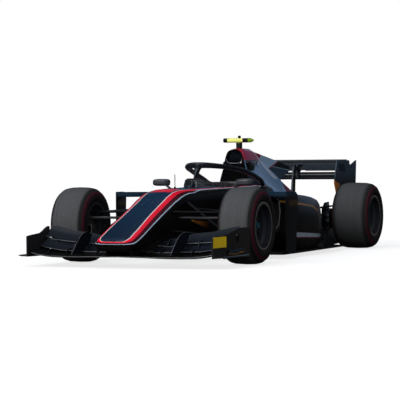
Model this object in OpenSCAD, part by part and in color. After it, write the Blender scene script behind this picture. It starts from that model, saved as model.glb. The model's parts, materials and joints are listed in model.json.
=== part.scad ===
// Open wheel racing car: single seater with a cockpit hoop, wings and slick tyres.
// +X points forward, +Y to the car's left, +Z up, and the tyres stand on Z = 0.
// Stations along X are counted from the front axle and shifted to the car's middle at the end.

/* [Overall] */
// Distance between the two axles
wheelbase = 3135; // [3050:5:3250]
// From the front axle to the tip of the nose
front_overhang = 1005; // [990:5:1040]
// From the rear axle to the rear tips of the wing endplates
rear_overhang = 885; // [860:5:930]
// Width over the outer faces of the tyres
overall_width = 1900; // [1880:5:1960]

/* [Wheels] */
// Outer diameter of all four tyres
tyre_d = 660; // [640:2:680]
// Width over the walls of a front tyre
front_tyre_w = 330; // [300:2:350]
// Width over the walls of a rear tyre
rear_tyre_w = 380; // [360:2:400]
// Diameter of the rim's outer lip
rim_d = 404; // [390:2:420]
// Number of twin spokes on a rim
spoke_count = 10; // [6:1:14]
// Depth of the front spokes behind the outer lip
front_dish = 88; // [70:2:110]
// Depth of the rear spokes behind the outer lip
rear_dish = 190; // [150:2:210]
// Diameter of the brake discs
disc_d = 278; // [250:2:290]

/* [Body] */
// Wall of the survival cell and of the outer panels
wall = 22; // [15:1:30]
// Half width of the cockpit opening at its widest
cockpit_half_w = 212; // [200:1:220]
// Front edge of the cockpit opening, behind the front axle
cockpit_front = 690; // [670:5:720]
// Rear edge of the cockpit opening, behind the front axle
cockpit_rear = 1600; // [1560:5:1620]
// Joint between the nose and the survival cell, ahead of the front axle
nose_joint = 260; // [220:5:300]
// Rear end of the survival cell, behind the front axle
cell_end = 1960; // [1920:5:2000]
// Diameter of the cockpit hoop's tube
hoop_d = 56; // [48:1:64]
// Half width of the air intake's mouth
intake_half_w = 80; // [70:1:85]

/* [Floor] */
// Height of the skid plank's underside
ride_h = 30; // [25:1:40]
// Thickness of the skid plank
plank_t = 10; // [8:1:15]
// Width of the skid plank
plank_w = 300; // [260:5:320]
// Thickness of the floor
floor_t = 12; // [8:1:16]
// Half width of the floor beside the sidepods
floor_half_w = 800; // [770:5:820]

/* [Wings] */
// Half width of the front wing at the leading edge of its endplates
front_wing_half_w = 836; // [815:1:840]
// Height of the front wing's main plane at its leading edge
front_wing_h = 92; // [85:1:100]
// Height of the rear wing's upper edge
rear_wing_h = 888; // [860:2:920]
// Half width of the rear wing over its endplates
rear_wing_half_w = 460; // [440:2:480]
// Thickness of the endplates
endplate_t = 10; // [8:1:14]

/* [Suspension] */
// Distance of the steering axis inboard of the front wheel's middle plane
steer_offset = 95; // [85:1:105]
// Height of the ball joints above and below the wheel's axis
joint_h = 108; // [100:1:112]
// Length of the steering arms
steer_arm = 105; // [95:1:110]
// Radius of the ball joint pins
pin_r = 9; // [8:0.5:11]
// Radius of the wheel bearing journals
axle_r = 30; // [26:1:34]
// Running gap around pins and journals
fit = 0.1; // [0.05:0.05:0.2]

/* [Hidden] */
$fn = 48;
x_f = 0;
x_r = -wheelbase;
overall_l = front_overhang + wheelbase + rear_overhang;
to_middle = overall_l / 2 - front_overhang;
axle_z = tyre_d / 2;
front_y = (overall_width - front_tyre_w) / 2;
rear_y = (overall_width - rear_tyre_w) / 2;
steer_y = front_y - steer_offset;
floor_z = ride_h + plank_t;
floor_top = floor_z + floor_t;
gap = 0.4;
eye_gap = 2;

// Placement

module car() translate([to_middle, 0, 0]) children();

module both_sides() {
    children();
    mirror([0, 1, 0]) children();
}

// Runs a shape's Z axis along the car's width, at a wheel's centre on the left
module on_axle(x, y) translate([x, y, axle_z]) rotate([-90, 0, 0]) children();

module on_side(side) mirror([0, side > 0 ? 0 : 1, 0]) children();

// Joins its children into one moulded skin
module moulded() resize([0, 0, 0]) children();

// Smooth curves through station tables

function last(list) = list[len(list) - 1];

function span_of(table, x, i = 0) =
    i >= len(table) - 2 || (x - table[i + 1][0]) * (last(table)[0] - table[0][0]) < 0
        ? i : span_of(table, x, i + 1);

function rise(table, c, i) =
    (table[i + 1][c] - table[i][c]) / (table[i + 1][0] - table[i][0]);

// Slope at a station, flat where the column turns back, so that no curve overshoots
function slope(table, c, i) =
    i == 0 ? rise(table, c, 0)
    : i == len(table) - 1 ? rise(table, c, i - 1)
    : let (a = rise(table, c, i - 1), b = rise(table, c, i))
        a * b <= 0 ? 0 : 2 * a * b / (a + b);

function at(table, c, x) =
    let (i = span_of(table, x),
         h = table[i + 1][0] - table[i][0],
         t = (x - table[i][0]) / h,
         p = table[i][c], q = table[i + 1][c],
         m = slope(table, c, i) * h, n = slope(table, c, i + 1) * h)
    p + t * m + t * t * (3 * (q - p) - 2 * m - n) + t * t * t * (2 * (p - q) + m + n);

// Stations from one end to the other, each span of the table cut into steps
function stations(table, steps, from, to) =
    let (inner = [for (i = [0:len(table) - 2], k = [0:steps - 1])
            let (x = table[i][0] + (table[i + 1][0] - table[i][0]) * k / steps)
            if ((x - from) * (x - to) < -1) x])
    concat([from], inner, [to]);

// Half outlines and skins

function bend(p, c, n, ease, steps) =
    [for (i = [0:steps]) let (t = i / steps, a = c + (p - c) * ease, b = c + (n - c) * ease)
        a * (1 - t) * (1 - t) + c * 2 * t * (1 - t) + b * t * t];

// A half outline from bottom to top whose inner corners are rounded
function rounded(points, ease = 0.35, steps = 3) =
    concat([points[0]],
        [for (k = [1:len(points) - 2])
            each bend(points[k - 1], points[k], points[k + 1], ease, steps)],
        [last(points)]);

function reversed(list) = [for (i = [len(list) - 1:-1:0]) list[i]];

// A ring across the car, up the left half and down the mirrored right half
function cross_ring(x, half) = concat(
    [for (p = half) [x, p[0], p[1]]],
    [for (p = reversed(half)) [x, -p[0], p[1]]]);

// A skin through rings of equal length, closed at both ends by ladders between the halves
module loft(rings) {
    n = len(rings[0]);
    m = len(rings);
    function id(j, i) = j * n + (i + n) % n;
    skin = [for (j = [0:m - 2], i = [0:n - 1]) each [
        [id(j, i), id(j, i + 1), id(j + 1, i + 1)],
        [id(j, i), id(j + 1, i + 1), id(j + 1, i)]]];
    front = [for (i = [0:n / 2 - 2]) each [
        [id(0, i), id(0, n - 2 - i), id(0, i + 1)],
        [id(0, i), id(0, n - 1 - i), id(0, n - 2 - i)]]];
    back = [for (i = [0:n / 2 - 2]) each [
        [id(m - 1, i), id(m - 1, i + 1), id(m - 1, n - 2 - i)],
        [id(m - 1, i), id(m - 1, n - 2 - i), id(m - 1, n - 1 - i)]]];
    polyhedron([for (r = rings) each r], concat(skin, front, back));
}

// A closed wing section from nose to tail and back: chord, thickness and camber as parts of the chord
function wing_section(chord, thick, camber, steps = 7) =
    let (t = [for (i = [0:steps]) pow(i / steps, 1.6)],
         half = function (s) thick * chord * 2.6 * (0.2969 * sqrt(s) - 0.126 * s - 0.3516 * s * s
                + 0.2843 * s * s * s - 0.1 * pow(s, 4)) + 1.2,
         line = function (s) -camber * chord * 4 * s * (1 - s))
    concat([for (s = t) [s * chord, line(s) + half(s)]],
           [for (s = reversed(t)) [s * chord, line(s) - half(s)]]);

// The section turned tail up by an angle, set with its nose at a place on the car
function wing_ring(x, y, z, chord, thick, camber, angle) =
    [for (p = wing_section(chord, thick, camber))
        [x - p[0] * cos(angle) + p[1] * sin(angle), y, z + p[0] * sin(angle) + p[1] * cos(angle)]];

// A round tube along points, with rings square to the path
module tube_path(points, radii, sides = 12) {
    m = len(points);
    function dir(i) = let (d = points[min(i + 1, m - 1)] - points[max(i - 1, 0)]) d / norm(d);
    function across(i) = let (d = dir(i), c = cross(abs(d[2]) > 0.9 ? [0, 1, 0] : [0, 0, 1], d)) c / norm(c);
    loft([for (i = [0:m - 1]) let (u = across(i), v = cross(dir(i), u))
        [for (k = [0:sides - 1]) let (a = 360 * (k + 0.5) / sides - 90)
            points[i] - u * cos(a) * radii[i][0] + v * sin(a) * radii[i][1]]]);
}

// Survival cell and nose

// Stations: x, half widths of top panel, shoulder and underside, heights of panel, shoulder and underside
cell = [
    [front_overhang,       95, 112,  84, 226, 202, 168],
    [front_overhang - 15, 132, 158, 122, 238, 203, 151],
    [front_overhang - 60, 147, 188, 150, 258, 214, 143],
    [800,  147, 198, 160, 318, 271, 152],
    [560,  134, 198, 164, 415, 367, 190],
    [nose_joint, 129, 200, 168, 531, 482, 245],
    [40,   130, 214, 176, 611, 560, 262],
    [-140, 142, 228, 184, 632, 580, 256],
    [-420, 172, 252, 200, 636, 588, 180],
    [-cockpit_front, 212, 276, 218, 640, 596, 100],
    [-1000, 238, 296, 244, 644, 602, floor_top + 3],
    [-1600, 246, 300, 262, 654, 606, floor_top],
    [-cell_end, 240, 300, 262, 648, 600, floor_top]
];
crown = 9;

function cell_half(x, inset = 0, drop = 0) =
    let (wp = at(cell, 1, x) - inset, ws = at(cell, 2, x) - inset, wb = at(cell, 3, x) - inset,
         zp = at(cell, 4, x) - inset - drop, zs = at(cell, 5, x) - inset - drop,
         zb = at(cell, 6, x) + inset)
    rounded([[wb * 0.45, zb], [wb, zb + 2], [ws, zb + (zs - zb) * 0.62], [ws, zs], [wp, zp],
             [wp * 0.4, zp + crown]], 0.3);

module cell_skin(from, to, inset = 0, drop = 0, steps = 2)
    loft([for (x = stations(cell, steps, from, to)) cross_ring(x, cell_half(x, inset, drop))]);

module nose() color("#10161f") car() moulded() cell_skin(front_overhang, nose_joint + gap / 2);

// Plan of the cockpit opening, narrow at the steering wheel and round at both ends
module cockpit_plan(margin = 0) hull() {
    translate([-cockpit_front - 130 + 0, 0]) circle(r = 130 + margin, $fn = 32);
    for (x = [-1150, -cockpit_rear + 90], side = [-1, 1])
        translate([x, side * (cockpit_half_w - 90)]) circle(r = 90 + margin, $fn = 32);
}

module monocoque() color("#14181d") car() moulded() difference() {
    cell_skin(nose_joint - gap / 2, -cell_end);
    cell_skin(-330, -cockpit_rear - 20, wall + 14, 6, 1);
    translate([0, 0, 420]) linear_extrude(400) cockpit_plan();
    both_sides() arm_pockets(front_arms, [0, steer_y], front_push);
    translate([steer_arm, 0, axle_z + rod_z]) rotate([90, 0, 0]) cylinder(r = rod_r + 0.3, h = 600, center = true);
    column_line() translate([0, 0, -1]) cylinder(r = column_r + 1, h = column_l + 1.5);
}

// Foam collar round the head, laid in the rear of the cockpit
module headrest() color("#2a2c30") car() moulded() difference() {
    translate([0, 0, 520]) linear_extrude(165, scale = 1) intersection() {
        cockpit_plan(-1);
        translate([-cockpit_rear, -400]) square([520, 800]);
    }
    translate([0, 0, 500]) linear_extrude(300) hull() {
        translate([-1330, 0]) circle(r = 138, $fn = 32);
        translate([-1000, 0]) square([20, 300], center = true);
    }
}

// Moulded shell that holds a driver from the thighs to the shoulders
// Stations along the shell: x, z of its middle line, half width
seat_line = [[-800, 165, 150], [-1050, 91.1, 170], [-1300, 89.9, 178], [-1480, 250, 182], [-1570, 470, 176]];
seat_t = 14;
function seat_ring(i) =
    let (a = seat_line[max(i - 1, 0)], b = seat_line[min(i + 1, len(seat_line) - 1)], p = seat_line[i],
         n = [-(b[1] - a[1]), b[0] - a[0]] / norm([b[0] - a[0], b[1] - a[1]]),
         dish = [for (t = [-1:0.25:1]) [t, 85 * pow(abs(t), 3)]],
         at_h = function (t, h) [p[0] - n[0] * h, t * p[2], p[1] - n[1] * h])
    concat([for (d = dish) at_h(d[0], d[1] + seat_t)], [for (d = reversed(dish)) at_h(d[0], d[1])]);
module seat() color("#1c1d20") car() loft([for (i = [len(seat_line) - 1:-1:0]) seat_ring(i)]);

// Cockpit hoop: a pillar ahead of the driver and a rising tube round the head

// Stations round the left arm: x, y, z, half height of the tube
hoop = [
    [-800, 0, 826, 1.1], [-815, 60, 832, 1.1], [-870, 120, 842, 1.1], [-980, 180, 846, 1.15], [-1120, 228, 832, 1.2],
    [-1280, 262, 796, 1.2], [-1460, 282, 742, 1.2], [-1640, 284, 694, 1.1], [-1740, 272, 664, 1]
];
hoop_r = hoop_d / 2;
hoop_side = [for (k = [0:len(hoop) - 2], s = [0:2]) let (t = s / 3, n = len(hoop) - 1,
    p = hoop[max(k - 1, 0)], a = hoop[k], b = hoop[k + 1], q = hoop[min(k + 2, n)])
    a + t * (b - p) / 2 + t * t * (p - 2.5 * a + 2 * b - q / 2) + t * t * t * (1.5 * (a - b) + (q - p) / 2)];
hoop_half = concat(hoop_side, [last(hoop)]);
hoop_path = concat([for (i = [len(hoop_half) - 1:-1:1]) let (p = hoop_half[i]) [p[0], -p[1], p[2], p[3]]],
                   hoop_half);
module halo() color("#101216") car() moulded() union() {
    difference() {
        tube_path([for (p = hoop_path) [p[0], p[1], p[2]]],
                  [for (p = hoop_path) [hoop_r, hoop_r * p[3]]]);
        cell_skin(-1500, -cell_end, -0.5);
    }
    difference() {
        tube_path([[-560, 0, 600], [-640, 0, 676], [-715, 0, 754], [-812, 0, 826]],
                  [[15, 46], [16, 40], [19, 36], [27, 30]]);
        cell_skin(-300, -900, -0.5);
    }
}

// Engine cover with air intake and fin

// Stations: x, height of the spine, half width and height of its shoulder, half width and height of the base
cover = [
    [-1680,  993,  92, 905, 150, 664],
    [-1800, 1004,  97, 905, 176, 640],
    [-2019, 1000,  86, 880, 222, 585],
    [-2300,  906,  62, 785, 262, 520],
    [-2600,  802,  48, 690, 272, 455],
    [x_r + 239, 700, 40, 600, 190, 400],
    [x_r - 30, 592, 64, 530, 122, 372]
];
cover_tail = last(cover)[0];
cover_nose = cover[0][0];
function cover_half(x, inset = 0, open = 0) =
    let (zt = at(cover, 1, x) - inset, ws = at(cover, 2, x) - inset, zs = at(cover, 3, x),
         wb = at(cover, 4, x) - inset, zb = at(cover, 5, x))
    rounded([[wb, zb - open - 8], [wb, zb], [wb - (wb - ws) * 0.16, zb + (zs - zb) * 0.22],
             [ws + (wb - ws) * 0.2, zs - (zs - zb) * 0.3], [ws, zs], [ws * 0.72, zt - (zt - zs) * 0.2],
             [ws * 0.25, zt]], 0.4);
module cover_skin(from, to, inset = 0, open = 0, steps = 3)
    loft([for (x = stations(cover, steps, from, to)) cross_ring(x, cover_half(x, inset, open))]);

// Upper edge of the fin, its raked tail and its root in the spine
fin_edge = [[-1985, 960], [-1985, 1000], [-2845, 882], [x_r - 66, 828], [x_r - 66, 783], [x_r + 200, 700], [x_r + 140, 640]];
fin_t = 14;
module fin() translate([0, fin_t / 2, 0]) rotate([90, 0, 0]) linear_extrude(fin_t) polygon(fin_edge);

mouth_z = [862, 984];
module intake_mouth(from, to) translate([to, 0, 0]) rotate([90, 0, 90]) linear_extrude(from - to) hull() {
    translate([0, mouth_z[1] - intake_half_w]) circle(r = intake_half_w - 4);
    for (side = [-1, 1]) translate([side * (intake_half_w - 24), mouth_z[0] + 24]) circle(r = 24);
}

// Slot through the roll structure for a lifting strap
module strap_slot() rotate([90, 0, 0]) linear_extrude(400, center = true) hull() {
    translate([-2040, 872]) circle(r = 20, $fn = 24);
    translate([-2180, 868]) circle(r = 16, $fn = 24);
    translate([-2060, 838]) circle(r = 18, $fn = 24);
}

module engine_cover() color("#8fa3b8") car() moulded() difference() {
    union() {
        cover_skin(cover_nose, cover_tail);
        fin();
    }
    cover_skin(cover_nose - wall, cover_tail - 20, wall, 60, 1);
    intake_mouth(cover_nose + 10, cover_nose - wall - 10);
    strap_slot();
    cell_skin(-1500, -cell_end - gap, -gap, -gap);
    gearbox_case(gap);
    both_sides() arm_pockets(rear_arms, [x_r, rear_pin_y], rear_push);
}

engine_l = 520;
engine_w = 430;
engine_z = [floor_top + 60, 500];
module engine() color("#6b6e73") car() translate([-cell_end - engine_l, -engine_w / 2, engine_z[0]])
    cube([engine_l, engine_w, engine_z[1] - engine_z[0]]);

// Sidepods

// Stations: x, inner side, outer side, underside, top
pod = [
    [-1075, 330, 700, 225, 572],
    [-1130, 312, 728, 190, 590],
    [-1300, 304, 758, 110, 590],
    [-1600, 304, 772, floor_top + 0.3, 577],
    [-1900, 304, 770, floor_top + 0.3, 552],
    [-2200, 304, 700, floor_top + 0.3, 508],
    [-2500, 304, 552, floor_top + 0.3, 456],
    [x_r + 400, 296, 440, floor_top + 0.3, 410],
    [x_r + 250, 290, 372, floor_top + 0.3, 380]
];
pod_nose = pod[0][0];
pod_tail = last(pod)[0];
pod_wall = 14;
function pod_ring(x, inset = 0) =
    let (yi = at(pod, 1, x) + inset, yo = at(pod, 2, x) - inset,
         zb = at(pod, 3, x) + inset, zt = at(pod, 4, x) - inset, w = yo - yi, h = zt - zb,
         inner = rounded([[yi + w * 0.3, zb], [yi, zb], [yi, zt - h * 0.02], [yi + w * 0.35, zt]], 0.12),
         outer = rounded([[yo - w * 0.35, zb], [yo - w * 0.06, zb], [yo, zb + h * 0.45], [yo - w * 0.05, zt - h * 0.04],
                          [yo - w * 0.4, zt]], 0.35))
    concat([for (p = outer) [x, p[0], p[1]]],
           [for (k = [len(outer) - 1:-1:0]) let (f = k / (len(outer) - 1) * (len(inner) - 1),
                a = inner[floor(f)], b = inner[ceil(f)], q = a + (b - a) * (f - floor(f))) [x, q[0], q[1]]]);
module pod_skin(from, to, inset = 0, steps = 2)
    loft([for (x = stations(pod, steps, from, to)) pod_ring(x, inset)]);

module sidepod() moulded() difference() {
    pod_skin(pod_nose, pod_tail);
    pod_skin(pod_nose - 12, pod_tail + 60, pod_wall, 1);
    translate([pod_nose - 24, 0, 0]) rotate([90, 0, 90]) linear_extrude(40) hull()
        for (y = [390, 640], z = [280, 520]) translate([y, z]) circle(r = 40, $fn = 24);
    cover_skin(cover_nose, cover_tail, -gap, 200);
}
module sidepods() color("#12161c") car() both_sides() sidepod();

// Inner faces of the cores lie on the sidepods' inner walls
radiator = [60, 320, 330];
radiator_x = -1420;
radiator_z = 172;
module radiators() color("#3a3d40") car() both_sides()
    translate([radiator_x, at(pod, 1, radiator_x) + pod_wall + 0.8, radiator_z]) cube(radiator);

// Tall vanes on the floor's front corners, each held to its sidepod by an arm

// Stations down the vane's chord: x, y of its outer face, thickness
vane = [[-825, 838, 5], [-880, 845, 12], [-990, 853, 12], [-1090, 857, 5]];
vane_top = 606;
vane_arm_z = [556, 602];
// Side view of the vane: x and height round its trailing edge
vane_side = [[-800, floor_top], [-800, vane_top], [-1000, vane_top], [-1048, 597], [-1076, 574], [-1086, 536],
             [-1062, 300], [-1030, floor_top]];
vane_foot_t = 8;
module sidepod_vanes() color("#15161a") car() both_sides() {
    intersection() {
        translate([0, 0, floor_top]) linear_extrude(vane_top - floor_top)
            polygon(concat([for (s = vane) [s[0], s[1]]], [for (s = reversed(vane)) [s[0], s[1] - s[2]]]));
        translate([0, 900, 0]) rotate([90, 0, 0]) linear_extrude(100) polygon(vane_side);
    }
    translate([0, 0, vane_arm_z[0]]) linear_extrude(vane_arm_z[1] - vane_arm_z[0]) polygon([
        [-836, 836], [-960, 842], [-1030, 850], [pod_nose + 0.5, 688], [pod_nose + 0.5, 560], [-1010, 600], [-930, 690]]);
    translate([0, 0, floor_top]) linear_extrude(vane_foot_t) polygon([
        [-850, 784], [-850, 838], [-960, 845], [-1020, 848], [-1020, 784]]);
}

// Floor, skid plank and diffuser

floor_nose = -540;
diffuser_x = [x_r + 60, x_r - 345];
diffuser_top = 215;
rear_gap_y = overall_width / 2 - rear_tyre_w - 30;
module floor_plan() polygon(concat(
    [for (p = [[floor_nose, 110], [floor_nose - 40, 150], [-820, 240], [-838, 700], [-850, floor_half_w],
               [-1200, floor_half_w + 8], [x_r + 420, floor_half_w - 20], [x_r + 372, rear_gap_y],
               [diffuser_x[0], rear_gap_y]]) p],
    [for (p = reversed([[floor_nose, 110], [floor_nose - 40, 150], [-820, 240], [-838, 700], [-850, floor_half_w],
               [-1200, floor_half_w + 8], [x_r + 420, floor_half_w - 20], [x_r + 372, rear_gap_y],
               [diffuser_x[0], rear_gap_y]])) [p[0], -p[1]]]));
// Low fences on the floor's edges ahead of the rear tyres
fence = [[x_r + 1110, -1], [x_r + 1040, 112], [x_r + 915, 112], [x_r + 800, -1]];
fence_t = 10;
module floor_panel() color("#17181b") car() {
    translate([0, 0, floor_z]) linear_extrude(floor_t) floor_plan();
    both_sides() translate([0, floor_half_w - 26, floor_top]) rotate([90, 0, 0]) linear_extrude(fence_t) polygon(fence);
}

module plank() color("#6e5a41") car() translate([diffuser_x[0] + 40, -plank_w / 2, ride_h])
    cube([floor_nose - 40 - diffuser_x[0] - 40, plank_w, plank_t]);

strake_t = 8;
module diffuser_side() polygon([[diffuser_x[0], floor_z], [diffuser_x[1], floor_z + 20], [diffuser_x[1], diffuser_top],
    [diffuser_x[1] + 40, diffuser_top], [diffuser_x[0], floor_top]]);
module diffuser() color("#17181b") car() {
    rotate([90, 0, 0]) linear_extrude(2 * rear_gap_y, center = true) polygon([
        [diffuser_x[0], floor_z], [diffuser_x[1], diffuser_top - floor_t], [diffuser_x[1], diffuser_top],
        [diffuser_x[0], floor_top]]);
    for (y = [-rear_gap_y + strake_t / 2, -300, -110, 110, 300, rear_gap_y - strake_t / 2])
        translate([0, y, 0]) rotate([90, 0, 0]) linear_extrude(strake_t, center = true) diffuser_side();
}

// Gearbox, tail and exhaust

gearbox_x = [-cell_end - engine_l, x_r - 150];
gearbox_z = [150, 392];
gearbox_half_w = [150, 105];
gearbox_rise = 90;
module gearbox_case(grow = 0) hull() {
    translate([gearbox_x[0] - 20, -gearbox_half_w[0] - grow, gearbox_z[0] - grow])
        cube([20, 2 * (gearbox_half_w[0] + grow), gearbox_z[1] - gearbox_z[0] + 2 * grow]);
    translate([gearbox_x[1], -gearbox_half_w[1] - grow, gearbox_z[0] + gearbox_rise - grow])
        cube([20, 2 * (gearbox_half_w[1] + grow), gearbox_z[1] - gearbox_z[0] - gearbox_rise + 2 * grow]);
}
module gearbox() color("#4c4f54") car() difference() {
    gearbox_case();
    on_axle(x_r, 0) cylinder(r = shaft_r + 8, h = 600, center = true);
    both_sides() arm_pockets(rear_arms, [x_r, rear_pin_y], rear_push);
}

tail_x = [gearbox_x[1], x_r - rear_overhang + 60];
starter_r = 16;
starter_l = 60;
starter_z = 262;
module rear_crash_structure() color("#1b1c1f") car() difference() {
    union() {
        hull() {
            translate([tail_x[0] - 20, -80, 290]) cube([20, 160, 100]);
            translate([tail_x[1], -48, 318]) cube([20, 96, 62]);
        }
        translate([tail_x[0] - starter_l - 30, 0, starter_z]) rotate([0, 90, 0]) cylinder(r = 30, h = starter_l + 30);
    }
    translate([tail_x[0] - starter_l - 31, 0, starter_z]) rotate([0, 90, 0]) cylinder(r = starter_r, h = starter_l + 1);
}

module rain_light() color("#a0131a") car() translate([tail_x[1] - 24, -45, 322]) cube([24, 90, 54]);

exhaust_r = 42;
exhaust_z = 452;
module exhaust() color("#5c4a3c") car() difference() {
    union() {
        translate([x_r - 75, 0, exhaust_z]) rotate([0, 90, 0]) cylinder(r = exhaust_r, h = 190);
        translate([x_r, -12, gearbox_z[1]]) cube([40, 24, exhaust_z - exhaust_r - gearbox_z[1] + 4]);
    }
    translate([x_r - 76, 0, exhaust_z]) rotate([0, 90, 0]) cylinder(r = exhaust_r - 4, h = 192);
}

// Front wing

// Stations along an endplate: x, y of its inner face, lower edge, upper edge
endplate = [
    [910, front_wing_half_w, front_wing_h - 2, 262], [800, front_wing_half_w + 4, 88, 272],
    [650, front_wing_half_w + 14, 86, 280], [500, front_wing_half_w + 40, 84, 318],
    [400, front_wing_half_w + 68, 84, 330], [325, front_wing_half_w + 92, 84, 326]
];
function tip_y(x) = at(endplate, 1, x) - gap;

// Stations across the left half: y, x and z of the leading edge, chord, camber, angle
main_plane = [
    [0, 930, 100, 250, 0.02, 2], [230, 925, 96, 255, 0.03, 3], [420, 900, front_wing_h, 265, 0.06, 5],
    [640, 872, front_wing_h + 2, 265, 0.07, 7], [front_wing_half_w - 70, 862, front_wing_h + 15, 250, 0.07, 8],
    [tip_y(856), 856, front_wing_h + 32, 240, 0.06, 8]
];
lower_flap = [
    [180, 668, 122, 150, 0.05, 14], [420, 664, 128, 170, 0.08, 20], [640, 660, 134, 176, 0.09, 23],
    [front_wing_half_w - 30, 650, 160, 166, 0.09, 25], [tip_y(646), 646, 176, 160, 0.08, 25]
];
upper_flap = [
    [180, 520, 176, 60, 0.05, 22], [300, 520, 182, 110, 0.07, 28], [460, 522, 194, 140, 0.09, 33],
    [640, 520, 204, 150, 0.1, 35], [front_wing_half_w - 30, 508, 238, 150, 0.1, 37],
    [tip_y(504), 504, 250, 146, 0.09, 37]
];
function wing_rings(table, thick, steps, from, to) =
    [for (y = stations(table, steps, from, to))
        wing_ring(at(table, 1, y), y, at(table, 2, y), at(table, 3, y), thick, at(table, 4, y), at(table, 5, y))];
module wing_half(table, thick, steps) loft(wing_rings(table, thick, steps, table[0][0], last(table)[0]));

module front_wing_main() color("#15171b") car() {
    left = wing_rings(main_plane, 0.07, 2, main_plane[0][0], last(main_plane)[0]);
    right = [for (k = [len(left) - 1:-1:1]) [for (p = left[k]) [p[0], -p[1], p[2]]]];
    loft(concat(right, left));
}

// Upright strake that carries the flaps from the main plane
strake_y = 450;
module wing_strake() translate([0, strake_y + 4, 0]) rotate([90, 0, 0]) linear_extrude(8) polygon([
    [856, 112], [812, 150], [752, 206], [690, 252], [620, 282], [560, 288], [470, 270], [520, 190], [640, 128], [690, 118]]);

module front_wing_flaps() color("#1a2230") car() both_sides() moulded() union() {
    wing_half(lower_flap, 0.07, 2);
    wing_half(upper_flap, 0.08, 2);
    difference() {
        wing_strake();
        loft(wing_rings(main_plane, 0.09, 2, 325, 640));
    }
}

// Stations along the foot plate outside it: x, outer edge
foot = [[930, front_wing_half_w + 84], [800, front_wing_half_w + 92], [600, front_wing_half_w + 96],
        [420, front_wing_half_w + 104], [340, front_wing_half_w + 104]];
foot_t = 9;
module endplate_side() moulded() union() {
    loft([for (x = stations(endplate, 2, endplate[0][0], last(endplate)[0]))
        let (y = at(endplate, 1, x), zb = at(endplate, 2, x), zt = at(endplate, 3, x))
        [[x, y + endplate_t, zb], [x, y + endplate_t, zt], [x, y, zt], [x, y, zb]]]);
    loft([for (x = stations(foot, 2, 905, last(foot)[0]))
        let (y = at(endplate, 1, min(x, 910)) + endplate_t / 2, yo = at(foot, 1, x), zb = at(endplate, 2, min(x, 910)))
        [[x, yo, zb + 6], [x, yo, zb + 6 + foot_t], [x, y, zb + foot_t], [x, y, zb]]]);
}
module front_wing_endplates() color("#101114") car() both_sides() difference() {
    endplate_side();
}

pylon_y = 104;
// Side view of a pylon, which runs back under the nose as a turning vane: x, z
pylon_side = [[900, 104], [900, 210], [700, 250], [284, 330], [276, 190], [292, 152], [360, 136], [520, 128],
              [672, 121], [690, 113], [740, 103]];
module front_wing_pylons() color("#101114") car() moulded() difference() {
    both_sides() translate([0, pylon_y + 6, 0]) rotate([90, 0, 0]) linear_extrude(12) polygon(pylon_side);
    cell_skin(front_overhang, nose_joint, -0.4, -0.4);
    both_sides() loft(wing_rings(main_plane, 0.074, 2, 0, 420));
    translate([600, -500, 0]) cube([400, 1000, 104]);
}

// Rear wing

wing_in = rear_wing_half_w - endplate_t;
main_le = [x_r - 262, rear_wing_h - 186];
flap_le = [x_r - 505, rear_wing_h - 102];
flap_chord = 165;
flap_angle = 38;
flap_te = flap_le + [-flap_chord * cos(flap_angle), flap_chord * sin(flap_angle)];
function flat_wing(le, chord, thick, camber, angle) =
    [for (p = wing_section(chord, thick, camber, 12))
        [le[0] - p[0] * cos(angle) + p[1] * sin(angle), le[1] + p[0] * sin(angle) + p[1] * cos(angle)]];
module rear_wing_main() color("#15171c") car() rotate([90, 0, 0]) linear_extrude(2 * wing_in, center = true)
    polygon(flat_wing(main_le, 262, 0.08, 0.11, 14));
flap_hinge = flap_te + [22 * cos(flap_angle), -22 * sin(flap_angle)];
flap_pin_r = 5;
module rear_wing_flap() color("#1c222c") car() rotate([90, 0, 0]) {
    linear_extrude(2 * wing_in - 10, center = true) polygon(flat_wing(flap_le, flap_chord, 0.08, 0.07, flap_angle));
    translate(flap_hinge) cylinder(r = flap_pin_r, h = 2 * wing_in + 14, center = true);
}

endplate_tail = x_r - rear_overhang;
rear_endplate = [
    [x_r - 250, rear_wing_h], [x_r - 165, rear_wing_h - 225], [x_r - 225, rear_wing_h - 330],
    [x_r - 520, rear_wing_h - 400], [endplate_tail + 40, rear_wing_h - 400], [endplate_tail + 20, rear_wing_h - 225],
    [endplate_tail, rear_wing_h], [endplate_tail + 14, rear_wing_h], [endplate_tail + 212, rear_wing_h - 56],
    [endplate_tail + 237, rear_wing_h]
];
module rear_wing_endplates() color("#12151c") car() difference() {
    both_sides() translate([0, rear_wing_half_w, 0]) rotate([90, 0, 0]) linear_extrude(endplate_t) polygon(rear_endplate);
    rotate([90, 0, 0]) translate(flap_hinge) cylinder(r = flap_pin_r + fit, h = 2 * wing_in + 15, center = true);
}

// Swan neck that carries the wing from above, with the flap's actuator pod on its top
pylon_t = 16;
pod_r = 22;
module rear_wing_pylon() color("#2b2718") car() difference() {
    union() {
        rotate([90, 0, 0]) linear_extrude(pylon_t, center = true) polygon([
            [x_r - 100, gearbox_z[1]], [x_r - 140, 560], [x_r - 170, 720], [x_r - 200, 820], [x_r - 250, 856],
            [x_r - 330, 850], [x_r - 390, 800], [x_r - 400, main_le[1] + 5], [x_r - 338, main_le[1] - 5],
            [x_r - 285, 790], [x_r - 255, 790], [x_r - 245, 700], [x_r - 235, 560], [x_r - 165, gearbox_z[1]]]);
        translate([x_r - 430, 0, 838]) rotate([0, 90, 0]) cylinder(r = pod_r, h = 170);
    }
    rotate([90, 0, 0]) linear_extrude(60, center = true) polygon(flat_wing(main_le + [0.3, 0.3], 262, 0.082, 0.11, 14));
}

// Wheels

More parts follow.
